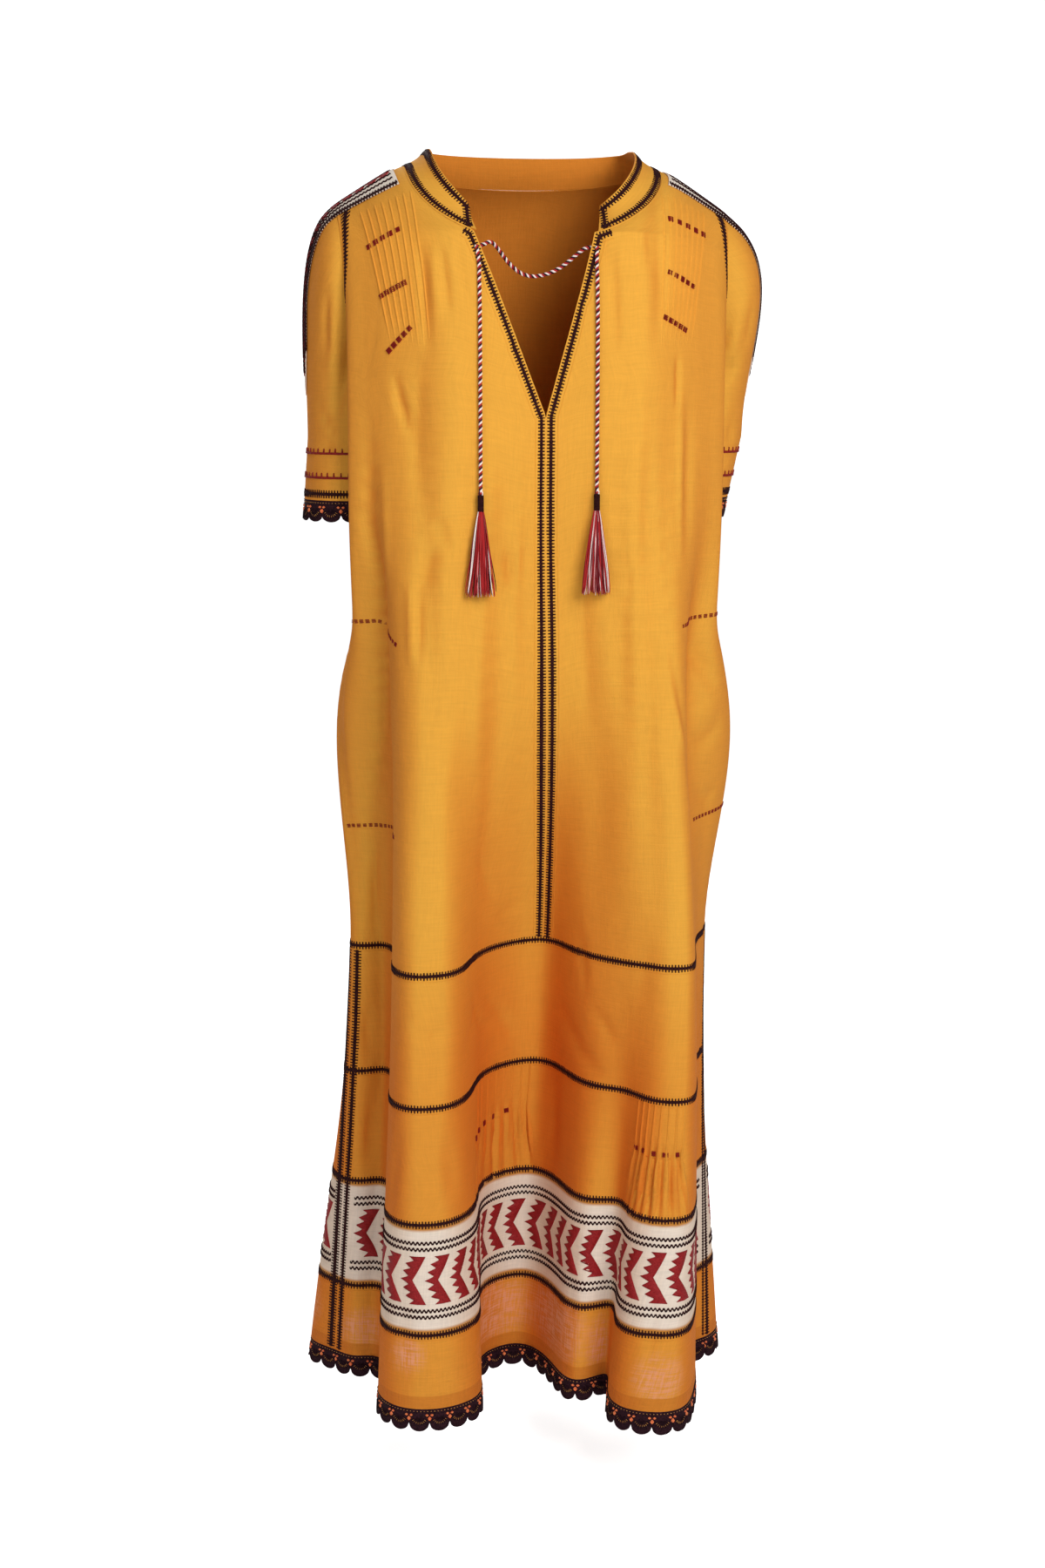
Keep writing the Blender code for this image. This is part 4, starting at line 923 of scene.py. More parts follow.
# %% The body's cloth
FINE = 24
WAY_STEP = 0.0027
LOWEST = HEM - LACE_DEPTH - CHEST - 0.006
body_places = np.linspace(0, ROUND, ROUND * FINE + 1)
below_ways = np.linspace(LOWEST, -WAY_STEP, int(-LOWEST / WAY_STEP))
above_ways = np.linspace(0, YOKE_LENGTH, int(YOKE_LENGTH / WAY_STEP))
body_ways = np.concatenate([below_ways, above_ways])
body_grid = np.empty((len(body_places), len(body_ways), 3))
for number, way in enumerate(body_ways):
    if way < 0:
        plan = read_spline(closed_spline(fold_points(CHEST + way)), body_places)
        body_grid[:, number] = np.column_stack([plan, np.full(len(body_places), CHEST + way)])
    else:
        body_grid[:, number] = yoke_surface(body_places, np.full(len(body_places), way))
body = Cloth(body_grid, body_places, body_ways)
print("the body's grid has", body_grid.shape[0], "by", body_grid.shape[1], "points")

# %% [markdown]
# ## Creases, placed one by one
#
# The table of folds holds the forms that one would draw first. What makes cloth believable is the
# second look: gathers under the collar, the tug beside the armhole, a dimple below a tassel, long
# lines beside the lobes. Each row here is one of those, with its own width, depth and length. A depth
# below 0 is a ridge. Hidden sides get their own set, so that the dress is whole from every side.

# %% Creases of the body
CREASE_STRENGTH = 1.25
PLEAT_WIDTH = .0034
# Columns: width, depth, then place and height of each point of the line
BODY_CREASES = (
    (.0060, .0022, 5.15, -.084, 5.20, -.130, 5.25, -.190),
    (.0050, .0017, 5.65, -.086, 5.72, -.118, 5.80, -.150),
    (.0042, .0013, 6.10, -.082, 6.20, -.105, 6.32, -.138),
    (.0060, -.0012, 5.42, -.090, 5.50, -.160),
    (.0080, .0014, 5.10, -.190, 4.90, -.260, 4.95, -.330),
    (.0045, .0026, 4.25, -.206, 4.45, -.232, 4.70, -.250),
    (.0040, .0020, 4.30, -.228, 4.75, -.266),
    (.0100, .0055, 3.25, -.255, 3.00, -.355, 3.25, -.405, 3.15, -.495, 2.80, -.575, 2.1, -.672),
    (.0060, -.0016, 3.80, -.300, 3.75, -.420),
    (.0046, .0022, 2.12, -.700, 1.60, -.800),
    (.0050, -.0022, 4.72, -.412, 4.78, -.450, 4.80, -.495),
    (.0048, .0020, 5.02, -.418, 5.02, -.492),
    (.0100, .0022, 5.62, -.365, 5.20, -.400, 4.95, -.428),
    (.0085, .0022, 5.50, -.345, 5.90, -.386),
    (.0060, .0028, 7.72, -.378, 7.82, -.400, 7.90, -.420),
    (.0034, -.0012, 8.06, -.372, 8.08, -.420),
    (.0140, .0012, 7.60, -.300, 7.70, -.372),
    (.0240, .0024, 6.00, -.480, 6.30, -.620, 6.10, -.760),
    (.0200, -.0014, 7.20, -.460, 7.30, -.700),
    (.0180, .0018, 5.20, -.640, 5.35, -.800),
    (.0045, .0012, 7.90, -.780, 8.25, -.772, 8.60, -.770),
    (.0080, .0012, 7.30, -.700, 7.80, -.762),
    (.0100, .0030, 13.95, -.018, 13.50, -.055, 13.50, -.086, 13.55, -.130, 13.35, -.180),
    (.0060, .0014, 13.00, -.056, 13.00, -.105),
    (.0055, .0016, 11.25, -.078, 11.35, -.140, 11.38, -.196),
    (.0050, .0013, 10.88, -.072, 11.00, -.112),
    (.0080, .0012, 11.60, -.190, 12.40, -.285),
    (.0038, .0026, 14.60, -.190, 14.62, -.212, 14.60, -.238),
    (.0050, -.0022, 14.82, -.225, 14.90, -.300, 15.05, -.398),
    (.0080, .0020, 15.30, -.240, 15.45, -.390),
    (.0060, .0014, 12.00, -.392, 12.05, -.432),
    (.0160, .0012, 12.60, -.300, 12.90, -.460),
    (.0060, -.0028, 13.75, -.484, 14.30, -.540, 14.70, -.566, 15.40, -.596),
    (.0080, .0022, 14.30, -.500, 15.00, -.560, 15.70, -.640),
    (.0100, .0036, 16.75, -.484, 17.60, -.510, 18.25, -.535),
    (.0100, .0028, 17.38, -.596, 18.00, -.588, 18.62, -.574),
    (.0080, .0024, 17.38, -.650, 18.00, -.660, 18.62, -.652),
    (.0070, -.0016, 17.20, -.560, 18.40, -.556),
    (.0220, .0022, 10.40, -.480, 10.70, -.640, 10.60, -.790),
    (.0200, -.0016, 12.10, -.500, 12.00, -.720),
    (.0180, .0016, 13.40, -.620, 13.60, -.790),
    (.0070, .0014, 9.88, -.780, 10.20, -.815, 10.38, -.862),
    (.0120, .0010, 12.90, -.790, 12.50, -.870),
    (.0080, .0030, 1.00, -.880, 1.20, -.950),
    (.0080, .0028, 1.38, -.985, 1.25, -1.072),
    (.0120, .0022, 5.70, -.800, 5.85, -.892, 5.70, -.950),
    (.0080, .0016, 7.60, -.862, 8.10, -.895, 8.45, -.930),
    (.0070, .0014, 7.50, -.870, 6.60, -.905),
    (.0100, .0018, 4.75, -.985, 4.45, -1.080),
    (.0120, .0018, 6.10, -.990, 6.30, -1.060),
    (.0080, .0022, 14.60, -1.000, 15.20, -1.055),
    (.0050, .0016, 13.90, -1.020, 14.70, -1.014, 15.50, -1.022),
    (.0090, .0024, 9.40, -.880, 10.20, -.920, 11.10, -.945),
    (.0070, .0016, 10.60, -.870, 11.60, -.905),
    (.0100, .0020, 9.50, -.970, 9.60, -1.070),
    (.0100, .0018, 5.00, -1.100, 5.10, -1.270),
    (.0090, .0016, 10.60, -1.090, 10.70, -1.280),
    (.0080, .0016, 14.30, -1.090, 14.40, -1.270),
    (.0080, .0022, 19.20, -.700, 19.30, -.900, 19.20, -1.100),
    (.0080, .0020, .60, -.480, .70, -.640, .60, -.780),
    (.0120, .0026, 5.00, -.200, 5.30, -.420, 5.60, -.600),
    (.0110, .0022, 6.60, -.160, 6.50, -.360, 6.90, -.520),
    (.0100, -.0018, 7.05, -.240, 7.00, -.460, 7.10, -.600),
    (.0150, .0026, 7.55, -.300, 7.60, -.550, 7.40, -.750),
    (.0090, .0018, 8.40, -.260, 8.30, -.420, 8.50, -.540),
    (.0120, .0024, 11.70, -.160, 11.60, -.400, 11.90, -.620),
    (.0100, -.0018, 12.30, -.220, 12.35, -.420, 12.40, -.560),
    (.0130, .0028, 13.00, -.200, 13.10, -.420, 12.90, -.660),
    (.0100, .0022, 14.00, -.240, 14.10, -.480, 13.90, -.620),
    (.0090, .0018, 10.20, -.300, 10.10, -.460, 10.30, -.560),
    (.0060, .0022, 7.10, -.860, 7.60, -.900, 8.40, -.905),
    (.0060, .0020, 5.00, -.860, 5.60, -.885, 6.20, -.870),
)
# Columns: place and height where each open pleat starts, place where it ends, depth
PLEAT_FANS = (
    (7.50, -1.016, 7.20, .0034), (7.68, -1.016, 7.52, .0042), (7.86, -1.014, 7.84, .0030),
    (8.06, -1.012, 8.10, .0044), (8.28, -1.011, 8.42, .0034), (8.50, -1.010, 8.76, .0040),
    (8.72, -1.008, 9.08, .0026),
    (13.02, -1.014, 12.72, .0034), (13.30, -1.014, 13.12, .0044), (13.60, -1.014, 13.52, .0034),
    (13.88, -1.014, 13.90, .0048), (14.16, -1.014, 14.26, .0036), (14.44, -1.014, 14.64, .0044),
    (14.70, -1.014, 15.02, .0030),
)
BACK_CREASES = (
    (.0070, .0022, 26.00, -.060, 25.90, -.130, 25.70, -.190),
    (.0060, .0018, 28.10, -.056, 28.20, -.110, 28.40, -.170),
    (.0050, .0014, 27.10, -.050, 27.05, -.100),
    (.0090, .0030, 23.60, -.150, 24.00, -.220, 24.10, -.320),
    (.0090, .0030, 30.60, -.150, 30.20, -.230, 30.10, -.340),
    (.0120, .0036, 25.10, -.220, 25.20, -.400, 25.00, -.620, 25.20, -.800),
    (.0110, .0032, 29.00, -.240, 29.10, -.430, 29.00, -.640, 28.90, -.780),
    (.0080, .0020, 26.60, -.300, 26.30, -.380, 26.50, -.470),
    (.0070, -.0018, 27.70, -.360, 27.90, -.520, 27.80, -.640),
    (.0060, .0018, 24.20, -.460, 23.60, -.500, 22.90, -.520),
    (.0070, .0020, 30.20, -.440, 30.90, -.480, 31.50, -.500),
    (.0090, .0020, 21.60, -.500, 21.80, -.640, 21.50, -.790),
    (.0090, .0020, 32.60, -.480, 32.40, -.660, 32.60, -.800),
    (.0060, .0015, 26.20, -.640, 27.10, -.666, 27.80, -.660),
    (.0100, .0024, 26.40, -.850, 26.50, -1.000, 26.40, -1.180),
    (.0080, .0018, 28.40, -.840, 28.30, -.960, 28.50, -1.080),
    (.0080, .0020, 23.40, -.860, 23.20, -1.020, 23.40, -1.200),
    (.0080, .0020, 31.60, -.880, 31.40, -1.040, 31.60, -1.220),
    (.0050, .0013, 24.60, -.930, 25.50, -.945),
    (.0050, .0012, 29.60, -1.020, 30.50, -1.030),
)


def on_ways(creases):
    """Turn the heights of a table of creases into ways."""
    rows = []
    for width, depth, *line in creases:
        line[1::2] = [way_at(z) for z in line[1::2]]
        rows.append((width, depth * CREASE_STRENGTH, *line))
    return rows


pleat_creases = [
    (PLEAT_WIDTH, depth, start, z + .012, (start + end) / 2, (z + BAND_THREE) / 2, end, BAND_THREE - .006)
    for start, z, end, depth in PLEAT_FANS
]
pressed = body.press(on_ways(list(BODY_CREASES + BACK_CREASES) + pleat_creases))
print("creases pressed into the body:", pressed)

# %% [markdown]
# ## Sleeves, collar and shoulder bands
#
# A sleeve starts at the armhole, leaves it in a soft curve and ends as an oval tube. The collar is a
# band that stands up from the neck seam and leans in. The shoulder bands are the body's and the
# sleeve's own surfaces once more, a little further out. All three become cloths of their own.

# %% Sleeve cloths
ELBOW = -0.27
CUFF = -0.335
SLEEVES = {
    "left": {"side": -1, "elbow": (.1790, .039), "cuff": (.1825, .040),
             "wide": (.049, .050), "bulge": .048},
    "right": {"side": 1, "elbow": (.1850, .039), "cuff": (.1765, .040),
              "wide": (.050, .044), "bulge": .090},
}
SLEEVE_DEEP = (.056, .058)
SLEEVE_START = 0.0012
SLEEVE_LIFT = 0.0040
SLEEVE_LIFT_TOP = 0.85
SLEEVE_LIFT_POWER = 0.7
SLEEVE_OUT = (0.25, 0.60)
SLEEVE_DOWN = (0.95, -0.40)
SLEEVE_ROUND = 0.55
SLEEVE_REACH = 0.022
SLEEVE_RISE = (0.030, 0.060)
ARM_WAY = float(way_up(ARMHOLE_START))
TURN_COUNT = 121
DROP_COUNT = 61


def armhole_edge(side):
    """Give the armhole from the shoulder down the front and up the back, with turns and directions."""
    ways = np.linspace(YOKE_LENGTH, ARM_WAY, 70)
    front, back = (armhole_at(rise_at(ways), side, half) for half in (False, True))
    places = np.concatenate([front, back[::-1][1:]])
    all_ways = np.concatenate([ways, ways[::-1][1:]])
    flat = Cloth(body_grid, body_places, body_ways)
    points = flat.at(places, all_ways)
    directions = flat.spot(flat.out, places, np.minimum(all_ways, YOKE_LENGTH - 0.002))
    length = lengths_along(points)
    lowest = int(np.argmin(points[:, 2]))
    turns = np.where(
        np.arange(len(length)) <= lowest,
        length / length[lowest] * math.pi,
        math.pi + (length - length[lowest]) / (length[-1] - length[lowest]) * math.pi,
    )
    return points, directions, turns, all_ways


def sleeve_cloth(name):
    """Make the cloth of one sleeve: turns from its top round the front, drops 0 to 2 and the lace."""
    size = SLEEVES[name]
    side = size["side"]
    edge, faces_out, edge_turns, _ = armhole_edge(side)
    turns = np.linspace(0, math.tau, TURN_COUNT)
    points = np.column_stack([np.interp(turns, edge_turns, edge[:, axis]) for axis in range(3)])
    faces_out = np.column_stack([np.interp(turns, edge_turns, faces_out[:, axis]) for axis in range(3)])
    points[-1] = points[0]
    cosine = np.cos(turns)
    sine = np.sin(turns)
    top = (1 + cosine) / 2
    start = unit(np.column_stack([
        side * (SLEEVE_OUT[0] + SLEEVE_OUT[1] * top),
        SLEEVE_ROUND * sine * (1 - top),
        -(SLEEVE_DOWN[0] + SLEEVE_DOWN[1] * top),
    ]))
    lifted = SLEEVE_LIFT * np.clip(1 - top / SLEEVE_LIFT_TOP, 0, 1) ** SLEEVE_LIFT_POWER
    base = points + start * SLEEVE_START + faces_out * lifted[:, None]
    rings = []
    for (centre, deep_y), wide, deep, height in (
            (size["elbow"], size["wide"][0], SLEEVE_DEEP[0], ELBOW),
            (size["cuff"], size["wide"][1], SLEEVE_DEEP[1], CUFF)):
        across = side * (centre + wide * cosine)
        rings.append(np.column_stack([across, deep_y - deep * sine, np.full(len(turns), height)]))
    reach = (SLEEVE_REACH + (size["bulge"] - SLEEVE_REACH) * top)[:, None]
    lift = np.array([0.0, 0.0, 1.0]) * (SLEEVE_RISE[0] + SLEEVE_RISE[1] * top)[:, None]
    drops = np.linspace(0, 2, DROP_COUNT)
    grid = np.empty((TURN_COUNT, DROP_COUNT, 3))
    for number, drop in enumerate(drops):
        if drop <= 1:
            rest = 1 - drop
            near = rest ** 3 * base + 3 * rest ** 2 * drop * (base + start * reach)
            grid[:, number] = near + 3 * rest * drop ** 2 * (rings[0] + lift) + drop ** 3 * rings[0]
        else:
            grid[:, number] = rings[0] + (rings[1] - rings[0]) * (drop - 1)
    grid[-1] = grid[0]
    return Cloth(grid, turns, drops, turned=side)


# Columns: width, depth, then turn and drop of each point of the line
SLEEVE_CREASES = {
    "left": (
        (.0070, .0052, 1.62, .42, 1.38, .70, 1.05, .92),
        (.0036, .0028, .42, .84, .78, .92, 1.12, 1.0),
        (.0080, .0040, 1.80, .18, 1.72, .50, 1.66, .86),
        (.0060, -.0028, 1.35, .22, 1.22, .55, .95, .74),
        (.0060, .0026, 1.05, .25, 1.00, .62),
        (.0090, .0024, .80, 1.05, .95, 1.30),
        (.0050, .0018, 1.55, 1.00, 1.80, 1.20),
        (.0080, .0040, 3.70, .25, 3.95, .55, 4.30, .85),
        (.0080, .0024, 5.00, .40, 5.10, .90),
        (.0060, .0020, 4.60, .90, 4.40, 1.30),
    ),
    "right": (
        (.0062, .0044, 1.60, .12, 1.72, .30, 1.76, .46),
        (.0080, .0050, 1.66, .48, 1.40, .60, 1.12, .70),
        (.0060, -.0028, 1.35, .16, 1.42, .42, 1.25, .52),
        (.0050, .0026, 1.60, .72, 1.25, .88),
        (.0070, .0026, .90, .30, 1.00, .55),
        (.0090, .0022, .90, .90, 1.05, 1.15),
        (.0050, .0018, 1.55, .95, 1.85, 1.10),
        (.0080, .0040, 3.80, .25, 4.05, .55, 4.30, .80),
        (.0080, .0024, 5.10, .40, 5.00, .95),
        (.0060, .0020, 4.70, .90, 4.50, 1.25),
    ),
}
sleeves = {}
for sleeve_name in SLEEVES:
    sleeves[sleeve_name] = sleeve_cloth(sleeve_name)
    sleeves[sleeve_name].press(SLEEVE_CREASES[sleeve_name])
print("sleeve cloths:", list(sleeves))

# %% Collar cloth
COLLAR_RISE_SIDE = 0.018
COLLAR_RISE_END = 0.026
COLLAR_IN_SIDE = 0.026
COLLAR_OUT_END = 0.0055
COLLAR_BACK_END = 0.022
COLLAR_RISE_BACK = 0.032
COLLAR_IN_BACK = 0.012
COLLAR_START = 0.0008
COLLAR_BOW = 0.002


def collar_cloth():
    """Make the collar's cloth from the left front end round the back to the right front end."""
    feet = []
    tops = []
    for side, turns in ((-1, np.linspace(0, 1, 30)), (0, None), (1, np.linspace(1, 0, 30))):
        if side == 0:
            for turn in np.linspace(math.pi, 0, 42)[1:-1]:
                rise = 1 - NECK_DROP_BACK * math.sin(turn) / -CHEST
                place = place_at(NECK_HALF * math.cos(turn), rise, RIGHT_SEAM + 4, ROUND - 4)
                foot = yoke_surface(np.array([place]), way_up(rise))[0]
                middle = math.sin(turn)
                high = COLLAR_RISE_SIDE + (COLLAR_RISE_BACK - COLLAR_RISE_SIDE) * middle
                reach = np.array([-math.cos(turn) * COLLAR_IN_SIDE, -COLLAR_IN_BACK * middle, high])
                feet.append(foot + unit(reach) * COLLAR_START)
                tops.append(foot + reach)
            continue
        last_turn = math.asin(-SLIT_TOP / NECK_DROP_FRONT)
        for part in turns:
            turn = last_turn * (1 - part)
            rise = 1 - math.sin(turn) * NECK_DROP_FRONT / -CHEST
            foot = yoke_surface(np.array([neck_place(rise, side)]), way_up(rise))[0]
            share = turn / last_turn
            inwards = COLLAR_IN_SIDE * (1 - share ** 3) - COLLAR_OUT_END * share ** 3
            high = COLLAR_RISE_SIDE + (COLLAR_RISE_END - COLLAR_RISE_SIDE) * share
            reach = np.array([-side * inwards, COLLAR_BACK_END * share, high])
            feet.append(foot + unit(reach) * COLLAR_START)
            tops.append(foot + reach)
    feet = np.array(feet)
    tops = np.array(tops)
    along = lengths_along((feet + tops) / 2)
    bow_way = unit(np.cross(np.gradient(feet, axis=0), tops - feet))
    shares = np.linspace(0, 1, 15)
    grid = [feet + (tops - feet) * s + bow_way * COLLAR_BOW * math.sin(math.pi * s) for s in shares]
    return Cloth(np.stack(grid, 1), along, shares, turned=-1)


collar = collar_cloth()
COLLAR_LONG = float(collar.us[-1])
print("the collar is", round(COLLAR_LONG * 1000), "mm long")

# %% Shoulder band cloths
BAND_HALF = 0.047
BAND_MIDDLE_LINE = -0.024
BAND_NARROWING = 0.45
BAND_SIDE_DROP = 0.66
BAND_POINT_DROP = 0.86
BAND_POINT_SHARE = 0.9
BAND_LIFT = 0.0016
BAND_INSET = 0.1


def shoulder_band_cloth(name):
    """Make one shoulder band's cloth: across from front to back, along from the collar to its point."""
    side = SLEEVES[name]["side"]
    edge, _, edge_turns, ways = armhole_edge(side)
    lowest = int(np.argmin(edge[:, 2]))
    lines = []
    acrosses = np.linspace(BAND_MIDDLE_LINE - BAND_HALF, BAND_MIDDLE_LINE + BAND_HALF, 33)
    for across in acrosses:
        way = YOKE_LENGTH - abs(across)
        rise = float(rise_at(way))
        if across < 0:
            inner, outer = front_span(way, side)
            turn = np.interp(-way, -ways[:lowest + 1], edge_turns[:lowest + 1])
        else:
            outer = armhole_at(rise, side, True)
            ends = (RIGHT_SEAM + 3, BACK) if side > 0 else (BACK, ROUND - 3)
            inner = place_at(side * NECK_HALF, rise, *ends)
            turn = np.interp(way, ways[lowest:], edge_turns[lowest:])
        places = inner + (outer - inner) * np.linspace(BAND_INSET, 1, 16)
        on_body = body.at(places, np.full(16, way))
        share = BAND_POINT_SHARE * abs(across - BAND_MIDDLE_LINE) / BAND_HALF
        end = BAND_POINT_DROP - (BAND_POINT_DROP - BAND_SIDE_DROP) * share
        drops = np.linspace(0.10, end, 16)
        narrow = 1 - BAND_NARROWING * np.clip(drops / 0.5, 0, 1)
        turns = turn * narrow if across < 0 else math.tau - (math.tau - turn) * narrow
        on_sleeve = sleeves[name].at(turns, drops)
        route = np.vstack([on_body, on_sleeve])
        length = lengths_along(route)
        spots = np.linspace(0, length[-1], 61)
        lines.append(np.column_stack([np.interp(spots, length, route[:, axis]) for axis in range(3)]))
    grid = np.array(lines)
    for repeat in range(3):
        grid[:, 1:-1] = (grid[:, :-2] + 2 * grid[:, 1:-1] + grid[:, 2:]) / 4
        grid[1:-1] = (grid[:-2] + 2 * grid[1:-1] + grid[2:]) / 4
    alongs = lengths_along(grid[16])
    cloth = Cloth(grid, acrosses, alongs, turned=-side)
    cloth.grid = cloth.grid + cloth.out * BAND_LIFT
    cloth.measure()
    return cloth


bands = {name: shoulder_band_cloth(name) for name in SLEEVES}
print("a shoulder band is", round(float(bands["left"].vs[-1]) * 1000), "mm long")

# %% [markdown]
# ## Panels
#
# Each panel is a thin shell on its cloth: an outer and an inner skin and a rim between them. The UV
# map is the true length along the cloth, so the threads keep their size whatever the folds do. Each
# panel takes the place of its solid, which is hidden.

# %% Shells
SHELL = 0.0010
DIP_FULL = 0.0060
FREE_TOP = -0.74
FREE_FULL = -0.98
# painted shade on the inner skin of every shell
INNER_SHADE = 0.6


def painted_shade(cloth, us, vs):
    """Mark where shade is painted: in valleys and on sides turned aside from the front, and more towards
    the hem, where the cloth hangs free.
    """
    shade_dip = np.clip(cloth.spot(cloth.shade_dip, us, vs) / DIP_FULL, 0, 1)
    out = cloth.spot(cloth.out, us, vs)
    height = cloth.at(us, vs)[..., 2]
    # painted shade on the sides, which turn away from the light in front
    aside = np.clip((np.abs(out[..., 0]) - 0.30) / 0.70, 0, 1)
    free = np.clip((FREE_TOP - height) / (FREE_TOP - FREE_FULL), 0, 1)
    free = free * free * (3 - 2 * free)
    return np.clip(0.12 * shade_dip + 0.60 * aside + 0.34 * free, 0, 1)


def run_lengths(points, axis):
    """Give the length along each row or column of a grid of points, from its first point."""
    steps = np.linalg.norm(np.diff(points, axis=axis), axis=2)
    return np.insert(np.cumsum(steps, axis), 0, 0.0, axis)


def shell(name, cloth, us, vs, finish, thick=SHELL, round_piece=False, sheer=None):
    """Make a thin closed shell over rows and columns of a cloth, and work out the area of its faces."""
    outer = cloth.at(us, vs, thick / 2)
    inner = cloth.at(us, vs, -thick / 2)
    middle = cloth.at(us, vs)
    rows, columns = us.shape
    u_length = run_lengths(middle, 1)
    u_length = u_length - u_length[:, columns // 2][:, None]
    flat = np.stack([u_length, run_lengths(middle, 0)], -1).reshape(-1, 2)
    size = rows * columns
    grid = np.arange(size).reshape(rows, columns)
    quads = np.stack([grid[:-1, :-1], grid[:-1, 1:], grid[1:, 1:], grid[1:, :-1]], -1).reshape(-1, 4)
    rim = [quads, quads[:, ::-1] + size]
    edges = [grid[0], grid[-1][::-1]]
    if not round_piece:
        edges += [grid[:, -1], grid[:, 0][::-1]]
    for edge in edges:
        rim.append(np.stack([edge[:-1], edge[:-1] + size, edge[1:] + size, edge[1:]], -1))
    faces = np.vstack(rim)
    points = np.vstack([outer.reshape(-1, 3), inner.reshape(-1, 3)])
    if round_piece:
        same = np.arange(2 * size)
        same[grid[:, -1]] = grid[:, 0]
        same[grid[:, -1] + size] = grid[:, 0] + size
        faces = same[faces]
    # painted shade: the outer skin by its place, the inner skin by a fixed share
    shade_dip = painted_shade(cloth, us, vs).ravel()
    marks = {"shade_dip": np.concatenate([shade_dip, np.full(size, INNER_SHADE)])}
    if sheer is not None:
        marks["sheer"] = np.concatenate([sheer(us, vs).ravel(), np.zeros(size)])
    piece = make_piece(name + "_cloth", points, faces, finish, uv=np.vstack([flat, flat]), marks=marks)
    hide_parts(name)
    corner = middle[:-1, :-1]
    areas = np.linalg.norm(np.cross(middle[:-1, 1:] - corner, middle[1:, :-1] - corner), axis=2)


# %% Fronts and back
body_rows_below = np.linspace(BAND_ONE - CHEST, 0, 92)
body_rows_above = np.linspace(0, YOKE_LENGTH, 66)[1:]
body_rows = np.concatenate([body_rows_below, body_rows_above])
FRONT_COLUMNS = 84
for front_name, side in (("front_left", -1), ("front_right", 1)):
    spans = np.array([front_span(way, side) for way in body_rows])
    us = spans[:, :1] + (spans[:, 1:] - spans[:, :1]) * np.linspace(0, 1, FRONT_COLUMNS)[None]
    shell(front_name, body, us, np.broadcast_to(body_rows[:, None], us.shape), linen)


def back_panel():
    """Make the back, whose rows bend down under the neck seam."""
    rise = rise_at(np.maximum(body_rows, 0))
    first = np.where(body_rows <= 0, RIGHT_SEAM, armhole_at(rise, 1, True))
    last = np.where(body_rows <= 0, ROUND, armhole_at(rise, -1, True))
    turns = np.linspace(0, math.pi, 51)
    neck = []
    for turn in turns:
        neck_rise = 1 - NECK_DROP_BACK * math.sin(turn) / -CHEST
        neck.append(place_at(NECK_HALF * math.cos(turn), neck_rise, RIGHT_SEAM + 4, ROUND - 4))
    top_places = np.concatenate([
        np.linspace(first[-1], neck[0], 30, endpoint=False), neck,
        np.linspace(neck[-1], last[-1], 31)[1:],
    ])
    shares = (top_places - first[-1]) / (last[-1] - first[-1])
    us = first[:, None] + (last - first)[:, None] * shares[None]
    tops = yoke_surface(top_places, np.full(len(top_places), YOKE_LENGTH))
    sine = np.sqrt(np.clip(1 - (tops[:, 0] / NECK_HALF) ** 2, 0, 1))
    lowered = way_up(1 - NECK_DROP_BACK * sine / -CHEST) - YOKE_LENGTH
    full = np.clip(body_rows / YOKE_LENGTH, 0, 1) ** 3
    vs = body_rows[:, None] + full[:, None] * lowered[None]
    shell("back", body, us, vs, linen)


back_panel()

# %% [markdown]
# ## Skirt bands
#
# Four bands run round the skirt below the body: two plain ones, the ecru one and the thin hem band.
# The thin band gets a mark where it hangs free in a valley or a recess, and there light shining through is
# painted as a pale lattice.

# %% Skirt bands
SKIRT_STEP = 0.0068
SKIRT_COLUMNS = {"front": 170, "back": 110}
PLEATED_COLUMNS = 400
HALVES = {"front": (LEFT_SEAM, RIGHT_SEAM), "back": (RIGHT_SEAM, ROUND)}
SKIRT = (
    ("tier_upper", BAND_ONE, BAND_TWO, "linen", linen),
    ("tier_lower", BAND_TWO, BAND_THREE, "linen", linen),
    ("ecru_band", BAND_THREE, BAND_FOUR, "ecru", ecru),
    ("hem_band", BAND_FOUR, HEM, "linen", hem_linen),
)
# Columns: place and height of the middle, half width in fold lines, half height
# spots where light shining through the thin band is painted in
SHEER_SPOTS = (
    (8.3, -1.236, 1.05, .036), (10.2, -1.232, .85, .038), (11.6, -1.246, .45, .030),
    (1.3, -1.252, 1.1, .022), (14.6, -1.250, .55, .026), (17.6, -1.240, .9, .030), (5.2, -1.225, .4, .018),
    (22.8, -1.240, .9, .034), (25.6, -1.240, .9, .034), (29.6, -1.240, 1.0, .034), (32.4, -1.240, .8, .030),
)


def sheer_spots(us, vs):
    """Mark how far each point lies inside the sheer spots."""
    total = np.zeros(us.shape)
    for place, height, wide, high in SHEER_SPOTS:
        away = np.hypot((us - place) / wide, (vs + CHEST - height) / high)
        total = np.maximum(total, np.clip((1.3 - away) / 0.8, 0, 1))
    return total


for band_name, top, foot, slot_name, finish in SKIRT:
    sheer = sheer_spots if band_name == "hem_band" else None
    heights = np.linspace(foot, top, max(9, round((top - foot) / SKIRT_STEP)))
    for half, (first, last) in HALVES.items():
        count = SKIRT_COLUMNS[half]
        if (band_name, half) == ("tier_lower", "front"):
            count = PLEATED_COLUMNS
        us, vs = np.meshgrid(np.linspace(first, last, count), heights - CHEST)
        shell(f"{band_name}_{half}", body, us, vs, finish, sheer=sheer)

